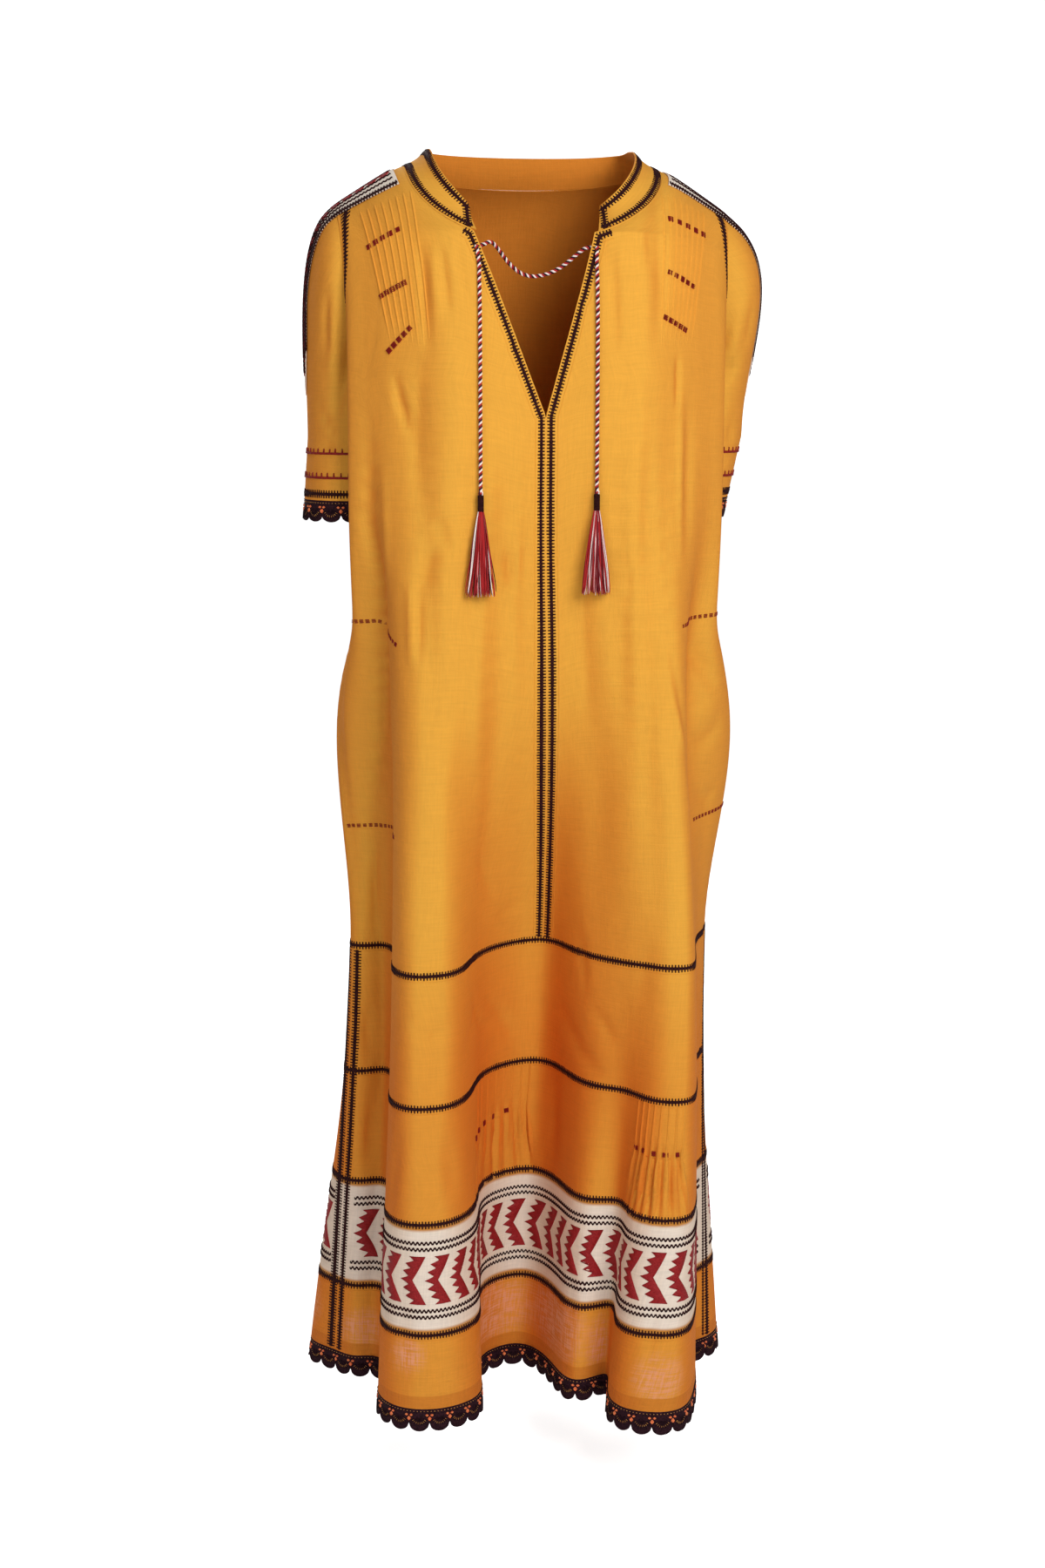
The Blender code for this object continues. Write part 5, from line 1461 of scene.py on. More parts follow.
# %% Sleeves, collar and shoulder bands
COLLAR_THICK = 0.0014
BAND_THICK = 0.0009
for sleeve_name, cloth in sleeves.items():
    us, vs = np.meshgrid(np.linspace(0, math.tau, 91), np.linspace(2, 0, 44))
    shell(f"sleeve_{sleeve_name}", cloth, us, vs, linen, round_piece=True)
us, vs = np.meshgrid(np.linspace(0, COLLAR_LONG, 150), np.linspace(0, 1, 9))
shell("collar", collar, us, vs, linen, thick=COLLAR_THICK)
for band_side, cloth in bands.items():
    us, vs = np.meshgrid(np.linspace(cloth.us[0], cloth.us[-1], 27),
                         np.linspace(0, cloth.vs[-1], 56), indexing="ij")
    shell(f"shoulder_band_{band_side}", cloth, us, vs, ecru_plain, thick=BAND_THICK)

# %% [markdown]
# ## Lace
#
# The lace is a row of fans. The ground is a shell whose lower edge is scalloped, with a count of
# scallops that fits the length of the hem, so no fan is cut in half at a seam. The ribs, rims and
# coloured fillings are laid on it later.

# %% Lace grounds
SCALLOP = 0.022
SCALLOP_DROP = 0.010
CUFF_LACE_DEPTH = 0.022
CUFF_SCALLOP_DROP = SCALLOP_DROP * 0.8
LACE_THICK = 0.0008
SCALLOP_STEPS = 10


def scallop_depth(parts, depth, drop):
    """Give how deep the lace hangs at parts of its scallops."""
    inside = np.mod(parts, 1) * 2 - 1
    return depth - drop * (1 - np.sqrt(np.clip(1 - inside ** 2, 0, 1)))


def even_places(first, last, way, count):
    """Spread places evenly by length along one row of the body's cloth."""
    fine = np.linspace(first, last, FINE_PLACES)
    length = lengths_along(body.at(fine, np.full(FINE_PLACES, way)))
    return np.interp(np.linspace(0, length[-1], count), length, fine), length[-1]


def lace_ground(name, cloth, places, start, fall, depth, drop):
    """Make a scalloped shell below a level of a cloth, whose places move by fall in each metre."""
    depths = scallop_depth(np.arange(len(places)) / SCALLOP_STEPS, depth, drop)
    vs = start + depths[None] * fall * np.linspace(1, 0, 6)[:, None]
    us = np.broadcast_to(places, vs.shape)
    shell(name, cloth, us, vs, lace_thread, thick=LACE_THICK, round_piece=cloth is not body)
    lace_lines[name] = (cloth, places, start)


lace_lines = {}
for half, (first, last) in HALVES.items():
    count = round(even_places(first, last, HEM - CHEST, 2)[1] / SCALLOP)
    places = even_places(first, last, HEM - CHEST, count * SCALLOP_STEPS + 1)[0]
    lace_ground(f"hem_lace_{half}", body, places, HEM - CHEST, -1, LACE_DEPTH, SCALLOP_DROP)
    print("scallops on the hem,", half, count)
for side_name, cloth in sleeves.items():
    length = float(lengths_along(cloth.at(cloth.us, np.full(TURN_COUNT, 2.0)))[-1])
    turns = np.linspace(0, math.tau, round(length / SCALLOP) * SCALLOP_STEPS + 1)
    fall = 1 / (ELBOW - CUFF)
    lace_ground(f"cuff_lace_{side_name}", cloth, turns, 2, fall, CUFF_LACE_DEPTH, CUFF_SCALLOP_DROP)

# %% [markdown]
# ## One tree for everything that repeats
#
# Stitches, wavy lines, woven motifs, fans and fringe are all one small form, repeated at a pitch. A
# Geometry Nodes tree lays the form out in a straight flat row: points on a line, one instance on each,
# a little unevenness from a fixed seed, made real, and given its finish. Laying the row on the cloth
# is then a matter of reading each point's three numbers, along, across and height, on a line there.

# %% The repeating tree
def repeat_tree():
    """Build the tree that repeats a form in a straight row."""
    tree = bpy.data.node_groups.new("row of repeats", "GeometryNodeTree")
    tree.interface.new_socket("Form", in_out="INPUT", socket_type="NodeSocketGeometry")
    for name, kind in (("Count", "NodeSocketInt"), ("Pitch", "NodeSocketFloat"),
                       ("Unevenness", "NodeSocketFloat"), ("Seed", "NodeSocketInt"),
                       ("Finish", "NodeSocketMaterial")):
        tree.interface.new_socket(name, in_out="INPUT", socket_type=kind)
    tree.interface.new_socket("Row", in_out="OUTPUT", socket_type="NodeSocketGeometry")
    add = tree.nodes.new
    start, end = add("NodeGroupInput"), add("NodeGroupOutput")
    step = add("ShaderNodeCombineXYZ")
    line = add("GeometryNodeMeshLine")
    place = add("GeometryNodeInstanceOnPoints")
    least, most = add("ShaderNodeMath"), add("ShaderNodeMath")
    for limit, operation in ((least, "SUBTRACT"), (most, "ADD")):
        limit.operation = operation
        limit.inputs[0].default_value = 1.0
    size = add("FunctionNodeRandomValue")
    size.data_type = "FLOAT"
    real, dressed = add("GeometryNodeRealizeInstances"), add("GeometryNodeSetMaterial")
    for giver, output, taker, put in (
            (start, "Pitch", step, "X"), (start, "Count", line, "Count"), (step, 0, line, "Offset"),
            (line, 0, place, "Points"), (start, "Form", place, "Instance"),
            (start, "Unevenness", least, 1), (start, "Unevenness", most, 1),
            (least, 0, size, 2), (most, 0, size, 3), (start, "Seed", size, "Seed"),
            (size, 1, place, "Scale"), (place, 0, real, 0), (real, 0, dressed, "Geometry"),
            (start, "Finish", dressed, "Material"), (dressed, 0, end, 0)):
        tree.links.new(giver.outputs[output], taker.inputs[put])
    return tree


REPEAT = repeat_tree()
SOCKETS = {item.name: item.identifier for item in REPEAT.interface.items_tree if item.in_out == "INPUT"}


def repeated(name, form, count, pitch, finish, uneven=0.0, seed=1):
    """Give an object that holds a straight row of a form, as a plain mesh."""
    piece = placed(name, plain_mesh(name, *form))
    modifier = piece.modifiers.new("row", "NODES")
    modifier.node_group = REPEAT
    values = {"Count": count, "Pitch": pitch, "Unevenness": uneven, "Seed": seed, "Finish": finish.material}
    for key, value in values.items():
        modifier[SOCKETS[key]] = value
    seen_by = bpy.context.evaluated_depsgraph_get()
    flat = bpy.data.meshes.new_from_object(piece.evaluated_get(seen_by))
    piece.modifiers.remove(modifier)
    piece.data = flat
    return piece


print("inputs of the tree:", list(SOCKETS))


# %% Lines on a cloth
class Line:
    """A line on a cloth, along which flat rows can be laid."""

    def __init__(self, cloth, us, vs, step=0.002):
        us, vs = np.broadcast_arrays(np.asarray(us, dtype=float), np.asarray(vs, dtype=float))
        length = lengths_along(cloth.at(us, vs))
        even = np.linspace(0, length[-1], max(3, int(length[-1] / step)))
        self.cloth = cloth
        self.us = np.interp(even, length, us)
        self.vs = np.interp(even, length, vs)
        points = cloth.at(self.us, self.vs)
        self.length = float(length[-1])
        self.marks = even
        along = unit(np.gradient(points, axis=0))
        side = unit(np.cross(unit(cloth.spot(cloth.out, self.us, self.vs)), along))
        u_way = (cloth.at(self.us + cloth.small_u, self.vs) - points) / cloth.small_u
        v_way = (cloth.at(self.us, self.vs + cloth.small_v) - points) / cloth.small_v
        uu, uv, vv = (np.sum(a * b, axis=1) for a, b in ((u_way, u_way), (u_way, v_way), (v_way, v_way)))
        su, sv = np.sum(u_way * side, axis=1), np.sum(v_way * side, axis=1)
        area = uu * vv - uv * uv
        self.side_u = (su * vv - sv * uv) / area
        self.side_v = (sv * uu - su * uv) / area

    def lay(self, along, across, height):
        """Give points on the cloth for flat points."""
        u = np.interp(along, self.marks, self.us) + across * np.interp(along, self.marks, self.side_u)
        v = np.interp(along, self.marks, self.vs) + across * np.interp(along, self.marks, self.side_v)
        return self.cloth.at(u, v, height)


def lay_rows(name, form, pitch, rows, finish, uneven=0.0, seed=1, smooth=False):
    """Lay one form, repeated, along rows of (line, across, lift, maybe length) as one piece."""
    rows = [(*row, row[0].length)[:4] for row in rows]
    counts = [max(1, round(row[3] / pitch)) for row in rows]
    piece = repeated(name, form, sum(counts), pitch, finish, uneven, seed)
    flat = read_points(piece.data)
    size = len(form[0])
    start = 0
    for (line, across, lift, reach), count in zip(rows, counts):
        some = slice(start * size, (start + count) * size)
        fit = reach / (count * pitch)
        along = (flat[some, 0] - (start - 0.5) * pitch) * fit + (line.length - reach) / 2
        flat[some] = line.lay(along, flat[some, 1] + across, flat[some, 2] + lift)
        start += count
    piece.data.vertices.foreach_set("co", flat.ravel())
    if smooth:
        piece.data.shade_smooth()
    piece.data.update()
    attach(piece, "root")
    piece.data.calc_loop_triangles()
    print(name, "has", sum(counts), "repeats and", len(piece.data.loop_triangles), "triangles")
    return piece


def prism(low, high, height, floor=-0.0004):
    """Make a closed form from a low outline and a smaller high outline of (along, across) points."""
    low = np.asarray(low, dtype=float)
    high = np.asarray(high, dtype=float)
    count = len(low)
    points = np.vstack([
        np.column_stack([low, np.full(count, floor)]),
        np.column_stack([high, np.full(count, height)]),
    ])
    order = np.arange(count)
    after = (order + 1) % count
    walls = np.stack([order, after, after + count, order + count], -1)
    caps = []
    for turn in range(1, count - 1, 2):
        last = min(turn + 2, count - 1)
        caps.append((0, last, turn + 1, turn))
        caps.append((count, turn + count, turn + 1 + count, last + count))
    return points, np.vstack([walls, np.array(caps)])


# %% [markdown]
# ## The black seam stitch
#
# The seams are covered by one stitch: a spine of thread with short teeth on both sides, like the
# backbone of a fish, about 8 mm wide with a tooth every 3.3 mm. It follows the collar, both edges of
# the slit, the centre front, armholes, shoulder bands, cuffs and all the skirt's seams.

# %% Stitch form and its rows
TOOTH_PITCH = 0.0033
STITCH_LIFT = SHELL / 2
BESIDE_CENTRE = 0.0052
SPINE = prism(
    [(-.00172, -.0018), (.00172, -.0018), (.00172, .0018), (-.00172, .0018)],
    [(-.0015, -.0012), (.0015, -.0012), (.0015, .0012), (-.0015, .0012)], .0008)
TOOTH_UP = prism(
    [(-.00095, .0012), (.00095, .0012), (.00080, .0042), (-.00080, .0042)],
    [(-.00060, .0012), (.00060, .0012), (.00045, .0038), (-.00045, .0038)], .0006)
TOOTH_DOWN = prism(
    [(-.00080, -.0042), (.00080, -.0042), (.00095, -.0012), (-.00095, -.0012)],
    [(-.00045, -.0038), (.00045, -.0038), (.00060, -.0012), (-.00060, -.0012)], .0006)
SEAM_STITCH = merged([SPINE, TOOTH_UP, TOOTH_DOWN])


FRONT_STITCH_START = 0.066
BACK_STITCH_START = 0.022
ARMHOLE_STITCH_FOOT = 0.24
ARMHOLE_STITCH_ASIDE = 0.0085
CUFF_STITCH_DROP = 1.90
BAND_STITCH_INSET = 0.0040


def slit_line(side):
    """Give the line down one edge of the slit and on down the centre front."""
    heights = np.linspace(SLIT_TOP + 0.004, SLIT_FOOT, 40)
    places = [neck_place(1 - z / CHEST, side) for z in heights]
    ways = [way_at(z) for z in heights]
    below = np.linspace(-0.004, BAND_ONE - CHEST + 0.003, 60)
    return Line(body, places + [float(FRONT)] * 60, np.concatenate([ways, below]))


def armhole_line(side, back=False):
    """Give the line down one armhole."""
    start = YOKE_LENGTH - (BACK_STITCH_START if back else FRONT_STITCH_START)
    ways = np.linspace(start, way_up(ARMHOLE_STITCH_FOOT), 50)
    return Line(body, armhole_at(rise_at(ways), side, back), ways)


def ring_line(height, first=0, last=ROUND):
    """Give a level line round the dress."""
    return Line(body, np.linspace(first, last, 400), height - CHEST)


def stitch_seams(name, rows, seed):
    """Lay the seam stitch along rows."""
    lay_rows(f"seam_stitches_{name}", SEAM_STITCH, TOOTH_PITCH, rows, black_thread, 0.06, seed)


slit_lines = {side: slit_line(side) for side in (-1, 1)}
collar_marks = np.linspace(0.002, COLLAR_LONG - 0.002, 300)
collar_top = Line(collar, collar_marks, 0.84)
collar_foot = Line(collar, collar_marks, 0.12)
end_shares = np.linspace(0.86, 0.0, 30)
body_rows_of_stitch = [
    (Line(collar, 0.005, end_shares), 0.0, COLLAR_THICK / 2),
    (Line(collar, COLLAR_LONG - 0.005, end_shares), 0.0, COLLAR_THICK / 2),
    (slit_lines[-1], -BESIDE_CENTRE, STITCH_LIFT),
    (slit_lines[1], BESIDE_CENTRE, STITCH_LIFT),
    (collar_top, 0.0, COLLAR_THICK / 2),
    (collar_foot, 0.0, COLLAR_THICK / 2),
]
for side in (-1, 1):
    for back in (False, True):
        aside = (side if back else -side) * ARMHOLE_STITCH_ASIDE
        body_rows_of_stitch.append((armhole_line(side, back), aside, STITCH_LIFT))
stitch_seams("body", body_rows_of_stitch, 3)

# %% Stitches of the skirt, sleeves and shoulder bands
SEAM_HEIGHTS = (BAND_ONE, BAND_TWO, BAND_THREE, BAND_FOUR)
stitch_seams("skirt", [(ring_line(height), 0.0, STITCH_LIFT) for height in SEAM_HEIGHTS], 5)
side_rows = []
down = np.linspace(BAND_ONE - CHEST - 0.005, HEM - CHEST + 0.002, 120)
for seam in (ROUND, RIGHT_SEAM):
    line = Line(body, seam, down)
    side_rows += [(line, -BESIDE_CENTRE, STITCH_LIFT), (line, BESIDE_CENTRE, STITCH_LIFT)]
ring_turns = np.linspace(0, math.tau, 240)
for cloth in sleeves.values():
    side_rows.append((Line(cloth, ring_turns, CUFF_STITCH_DROP), 0.0, STITCH_LIFT))
for cloth in bands.values():
    alongs = np.linspace(0.001, cloth.vs[-1] - 0.002, 120)
    for across in (cloth.us[0] + BAND_STITCH_INSET, cloth.us[-1] - BAND_STITCH_INSET):
        side_rows.append((Line(cloth, across, alongs), 0.0, STITCH_LIFT))
stitch_seams("sides", side_rows, 7)

# %% [markdown]
# ## Embroidery of the ecru band
#
# Two wavy lines run above and two below a row of toothed chevrons that point to the left. This is a
# common folk ornament, so it is charted here by rule: three teeth on each arm, each a step further
# out, a straight inner edge, and satin stitch that rises and falls a little from row to row.

# %% Wavy lines and chevrons
WAVE_PITCH = 0.0045
WAVE_HIGH = 0.00125
WAVE_WIDE = 0.0023
WAVE_STEPS = 7
CHEVRON_PITCH = 0.0268
# Columns: distance from the middle, tooth or notch edge, straight inner edge
CHEVRON_CHART = (
    (.0000, -.0150, -.0006), (.0045, -.0052, .0020), (.0095, -.0126, .0048), (.0135, -.0030, .0070),
    (.0182, -.0092, .0094), (.0222, .0008, .0114), (.0268, -.0046, .0136),
)
BAND_MIDDLE = -1.1415
WAVE_LEVELS = (-1.1010, -1.1078, -1.1752, -1.1820)


def wave_form():
    """Make one period of the wavy line."""
    parts = np.linspace(-0.5, 0.5, WAVE_STEPS)
    alongs = parts * WAVE_PITCH
    acrosses = WAVE_HIGH * np.sin(parts * math.tau)
    slopes = np.gradient(acrosses, alongs)
    wide = WAVE_WIDE / 2 * np.sqrt(1 + slopes ** 2)
    rows = []
    for along, across, half in zip(alongs, acrosses, wide):
        for aside, height in ((-half, -.0002), (0, .0012), (half, -.0002)):
            rows.append((along, across + aside, height))
    grid, faces = ring_faces(WAVE_STEPS, 3)
    caps = [grid[0, [0, 1, 2, 2]], grid[-1, [2, 1, 0, 0]]]
    return np.array(rows), np.vstack([faces[:, [0, 3, 2, 1]], caps])


def chevron_form():
    """Make one chevron from its chart, mirrored above and below its middle."""
    chart = np.array(CHEVRON_CHART)
    levels = np.linspace(-chart[-1, 0], chart[-1, 0], 45)
    left = np.interp(np.abs(levels), chart[:, 0], chart[:, 1])
    right = np.interp(np.abs(levels), chart[:, 0], chart[:, 2])
    rows = []
    for number, (level, low, high) in enumerate(zip(levels, left, right)):
        rise = 0.0007 + 0.00022 * math.sin(number * 2.4)
        inner = min(0.0005, (high - low) / 4)
        rows.append([
            (low, level, -.0004), (low + inner, level, rise * .8), ((low + high) / 2, level, rise),
            (high - inner, level, rise * .8), (high, level, -.0004), ((low + high) / 2, level, -.0004),
        ])
    return np.array(rows).reshape(-1, 3), bar_faces(len(levels), 6, ((0, 1, 2, 5), (2, 3, 4, 5)))


WAVE_MARGIN = 0.030


def band_rows(heights, margin):
    """Give level rows on the front and the back that stop short of the side seams."""
    lines = [ring_line(height, *ends) for ends in HALVES.values() for height in heights]
    return [(line, 0.0, STITCH_LIFT, line.length - margin) for line in lines]


wave_rows = band_rows(WAVE_LEVELS, WAVE_MARGIN)
lay_rows("wavy_lines", wave_form(), WAVE_PITCH, wave_rows, black_thread, 0.0, 11)
chevron_rows = band_rows([BAND_MIDDLE], WAVE_MARGIN + 0.006)
lay_rows("chevrons", chevron_form(), CHEVRON_PITCH, chevron_rows, red_thread, 0.02, 13, True)

# %% [markdown]
# ## Shoulder embroidery
#
# Each shoulder band carries five of the same wavy lines and one row of small red chevrons along its
# middle. They are seen nearly edge-on from the front, and plainly from above and from the sides.

# %% Shoulder embroidery
SHOULDER_WAVES = (-0.0520, -0.0370, -0.0110, 0.0040, 0.0110)
SMALL_CHEVRON = (0.55, 0.30, 1.0)
SMALL_PITCH = 0.0150
shoulder_waves = []
shoulder_chevrons = []
for cloth in bands.values():
    alongs = np.linspace(0.004, cloth.vs[-1] - 0.012, 120)
    for across in SHOULDER_WAVES:
        shoulder_waves.append((Line(cloth, across, alongs), 0.0, STITCH_LIFT))
    shoulder_chevrons.append((Line(cloth, BAND_MIDDLE_LINE, alongs), 0.0, STITCH_LIFT))
lay_rows("shoulder_waves", wave_form(), WAVE_PITCH, shoulder_waves, black_thread, 0.0, 17)
points, faces = chevron_form()
small = (points * SMALL_CHEVRON, faces)
lay_rows("shoulder_chevrons", small, SMALL_PITCH, shoulder_chevrons, red_thread, 0.03, 19, True)

# %% [markdown]
# ## Red stitches
#
# Short rows of small squares hold the tucks, each made of four bars of satin stitch. Dashes of three
# bars cross the side panels, and the sleeves carry two rows of blanket stitch, a line with thorns.

# %% Red stitches
BAR = .00135


def square_form(wide, count):
    """Make a square of satin bars."""
    parts = []
    for number in range(count):
        middle = (number - (count - 1) / 2) * BAR
        low = [(-wide, middle - BAR * .42), (wide, middle - BAR * .42),
               (wide, middle + BAR * .42), (-wide, middle + BAR * .42)]
        high = [(x * .9, middle + (y - middle) * .4) for x, y in low]
        parts.append(prism(low, high, .0008))
    return merged(parts)


def thorn_form():
    """Make one repeat of the sleeve's blanket stitch."""
    bar = prism([(-.0040, -.0016), (.0040, -.0016), (.0040, .0012), (-.0040, .0012)],
                [(-.0038, -.0010), (.0038, -.0010), (.0038, .0006), (-.0038, .0006)], .0013)
    thorn = prism([(-.0012, .0006), (.0012, .0006), (.0005, .0052), (-.0005, .0052)],
                  [(-.0006, .0006), (.0006, .0006), (.0003, .0046), (-.0003, .0046)], .0010)
    return merged([bar, thorn])


# Columns: place and way of the first square, then of the last one
YOKE_SQUARES = (
    (3.38, .175, 4.50, .186), (3.85, .120, 4.62, .131), (4.12, .066, 4.75, .087),
    (14.25, .197, 16.25, .192), (14.12, .142, 15.50, .131), (13.88, .098, 15.00, .087),
)
SKIRT_SQUARES = (
    (7.30, -1.016 - CHEST, 8.40, -1.010 - CHEST), (12.95, -1.012 - CHEST, 14.75, -1.012 - CHEST),
)
SQUARE_COUNT = 5
square_rows = []
for first_place, first_way, last_place, last_way in YOKE_SQUARES + SKIRT_SQUARES:
    margin_place = (last_place - first_place) / (SQUARE_COUNT - 1) / 2
    margin_way = (last_way - first_way) / (SQUARE_COUNT - 1) / 2
    line = Line(body, np.linspace(first_place - margin_place, last_place + margin_place, 20),
                np.linspace(first_way - margin_way, last_way + margin_way, 20))
    square_rows.append((line, 0.0, STITCH_LIFT + 0.0006))
square = square_form(.0027, 4)
for number, row in enumerate(square_rows):
    pitch = row[0].length / SQUARE_COUNT
    lay_rows(f"squares_{number}", square, pitch, [row], wine_thread, 0.08, 23 + number)
# Columns: place and height of the first dash, then of the last one
DASHES = (
    (.15, -.462, 2.9, -.456), (2.9, -.456, 4.25, -.476), (.15, -.684, 4.0, -.676),
    (15.0, -.460, 19.8, -.452), (17.3, -.677, 19.8, -.672),
    (20.2, -.452, 23.6, -.456), (30.4, -.458, 33.8, -.460),
)
DASH_PITCH = .0068
THORN_DROPS = (1.26, 1.64)
THORN_PITCH = .0078
dash_rows = []
for first_place, first_z, last_place, last_z in DASHES:
    line = Line(body, np.linspace(first_place, last_place, 60), np.linspace(first_z, last_z, 60) - CHEST)
    dash_rows.append((line, 0.0, STITCH_LIFT))
lay_rows("dashes", square_form(.0021, 3), DASH_PITCH, dash_rows, wine_thread, 0.1, 31)
thorn_rows = []
for cloth in sleeves.values():
    turns = ring_turns[::-1] if cloth.turned > 0 else ring_turns
    for drop in THORN_DROPS:
        thorn_rows.append((Line(cloth, turns, drop), 0.0, STITCH_LIFT))
lay_rows("blanket_stitches", thorn_form(), THORN_PITCH, thorn_rows, wine_thread, 0.05, 37)

# %% [markdown]
# ## Fans of the lace
#
# On the ground of each scallop lie a thick rim, ribs that spread like a fan, and two cords along the
# top. Between the scallops sit three small salmon lozenges, and straw coloured slits shine between the
# ribs. Each kind is one flat form, laid along the hem and the cuffs.

# %% Lace fans
FAN_RIBS = 9
FAN_TOP = -0.0085
FAN_TURN = 132


def lozenge(along, across, wide, high, rise=.0007, turn=0.0):
    """Make a small raised lozenge."""
    outline = np.array([(-wide, 0), (-wide * .4, -high * .8), (0, -high), (wide * .4, -high * .8),
                        (wide, 0), (wide * .4, high * .8), (0, high), (-wide * .4, high * .8)])
    cosine, sine = math.cos(turn), math.sin(turn)
    outline = outline @ np.array([[cosine, sine], [-sine, cosine]])
    return prism(outline + (along, across), outline * .6 + (along, across), rise)


def rib(start, end, wide=.00034, rise=.0009):
    """Make a thin raised rib between two flat points."""
    start, end = np.array(start), np.array(end)
    side = np.array([-(end - start)[1], (end - start)[0]])
    side = side / np.linalg.norm(side) * wide
    low = [start - side, end - side, end + side, start + side]
    high = [start - side * .3, end - side * .3, end + side * .3, start + side * .3]
    return prism(low, high, rise)


def fan_forms(depth, drop):
    """Make the dark, salmon and straw forms of one scallop."""
    half = SCALLOP / 2
    foot = -depth
    dark = []
    rim_turns = np.linspace(-1, 1, 11)
    rim = [(x * half * .97, foot + drop * (1 - math.sqrt(max(0, 1 - x * x))) + .0007) for x in rim_turns]
    dark += [rib(a, b, .0008, .0011) for a, b in zip(rim[:-1], rim[1:])]
    straw = []
    for number in range(FAN_RIBS):
        turn = math.radians(FAN_TURN * number / (FAN_RIBS - 1) - FAN_TURN / 2)
        x, y = math.sin(turn), -math.cos(turn)
        reach = min((FAN_TOP - foot) / max(-y, .62), half * 1.02) - .0012
        dark.append(rib((x * .002, FAN_TOP + y * .002), (x * reach, FAN_TOP + y * reach)))
        if number < FAN_RIBS - 1:
            middle = turn + math.radians(FAN_TURN / (FAN_RIBS - 1) / 2)
            mx, my = math.sin(middle), -math.cos(middle)
            spot = (mx * reach * .74, FAN_TOP + my * reach * .74)
            straw.append(lozenge(*spot, reach * .17, .00034, .0006, middle - math.pi / 2))
    for across in (-.0006, -.0046):
        dark.append(rib((-half, across), (half, across), .0007, .0010))
    for number in range(6):
        x = (number - 2.5) * SCALLOP / 6
        straw.append(lozenge(x, -.0026, .0009, .0006, .0005))
    salmon = [
        lozenge(.0026 - half, -.0068, .0021, .0015, .0011),
        lozenge(.0001 - half, -.0108, .0024, .0027, .0012),
        lozenge(half - .0026, -.0068, .0021, .0015, .0011),
    ]
    return merged(dark), merged(salmon), merged(straw)


def hanging_line(cloth, places, level):
    """Give a line on a cloth, turned so that across below 0 is down."""
    line = Line(cloth, places, level, 0.001)
    below, at_line = line.lay(np.array([0.1, 0.1]), np.array([-0.01, 0.0]), 0.0)[:, 2]
    return Line(cloth, places[::-1], level, 0.001) if below > at_line else line


FAN_FINISHES = {"fans": lace_thread, "salmon": salmon_thread, "straw": straw_thread}
for part_name, depth, drop in (
        ("hem_lace", LACE_DEPTH, SCALLOP_DROP), ("cuff_lace", CUFF_LACE_DEPTH, CUFF_SCALLOP_DROP)):
    rows = [(hanging_line(*facts), 0.0, LACE_THICK / 2)
            for name, facts in lace_lines.items() if name.startswith(part_name)]
    for form, (kind, finish) in zip(fan_forms(depth, drop), FAN_FINISHES.items()):
        lay_rows(f"{part_name}_{kind}", form, SCALLOP, rows, finish, 0.0, 41)

# %% [markdown]
# ## Tucks and pleats
#
# A pin tuck is a pinch of cloth sewn down in a line, so it is a low ridge with one steep side. Eight
# of them run down each shoulder. Below the second skirt seam two more groups are sewn half way down
# and let go, and from there they open into soft pleats.

# %% Ridges
YOKE_TUCKS = {
    "left": {"side": -1, "top": .178, "foot": .153, "top_step": .0068, "foot_step": .0050},
    "right": {"side": 1, "top": .170, "foot": .148, "top_step": .0068, "foot_step": .0050},
}
TUCKS = 8
TUCK_TOP = -0.030
TUCK_FOOT = -0.180
SKIRT_TUCKS = ((7.45, 8.85), (12.9, 14.9))
SKIRT_TUCK_FOOT = -1.010
PLEAT_SPREAD = 0.35


def ridge(line, halves, heights, floor=-0.0003):
    """Give the points, faces and painted shade of a ridge along a line, with its half widths and heights.
    """
    count = len(line.marks)
    halves = np.broadcast_to(halves, (count,))
    heights = np.broadcast_to(heights, (count,))
    # painted shade of the cloth under the ridge, carried onto it
    deep = np.repeat(painted_shade(line.cloth, line.us[:, None], line.vs[:, None]), 6)
    columns = []
    for across, share in ((-1.0, None), (-.55, .30), (-.12, .92), (.12, 1.0), (.40, .50), (1.0, None)):
        high = np.full(count, floor) if share is None else heights * share
        columns.append(line.lay(line.marks, halves * across, STITCH_LIFT + high))
    return np.stack(columns, 1).reshape(-1, 3), bar_faces(count, 6, ((0, 1, 4, 5), (1, 2, 3, 4))), deep


def ridge_piece(name, ridges):
    """Make one piece of linen from several ridges."""
    points, faces = merged([part[:2] for part in ridges])
    flat = np.column_stack([points[:, 0] + points[:, 1], points[:, 2]])
    # the ridges carry the painted shade mark
    marks = {"shade_dip": np.concatenate([part[2] for part in ridges])}
    make_piece(name, points, faces, linen, uv=flat, marks=marks)


pin_tucks = []
for name, group in YOKE_TUCKS.items():
    ends = (LEFT_SEAM + 2.0, FRONT) if group["side"] < 0 else (FRONT, RIGHT_SEAM - 2.0)
    for number in range(TUCKS):
        heights = np.linspace(TUCK_TOP, TUCK_FOOT, 30)
        part = (TUCK_TOP - heights) / (TUCK_TOP - TUCK_FOOT)
        top = group["top"] - number * group["top_step"]
        foot = group["foot"] - number * group["foot_step"]
        across = group["side"] * (top + (foot - top) * part)
        places = [place_at(x, 1 - z / CHEST, *ends) for x, z in zip(across, heights)]
        ways = [way_at(z) for z in heights]
        line = Line(body, places, ways, 0.003)
        fade = np.clip(line.marks / .006, 0.1, 1) * np.clip((line.length - line.marks) / .03, 0.1, 1)
        pin_tucks.append(ridge(line, .0016, .0012 * fade))
ridge_piece("pin_tucks", pin_tucks)
print("pin tucks:", len(pin_tucks))

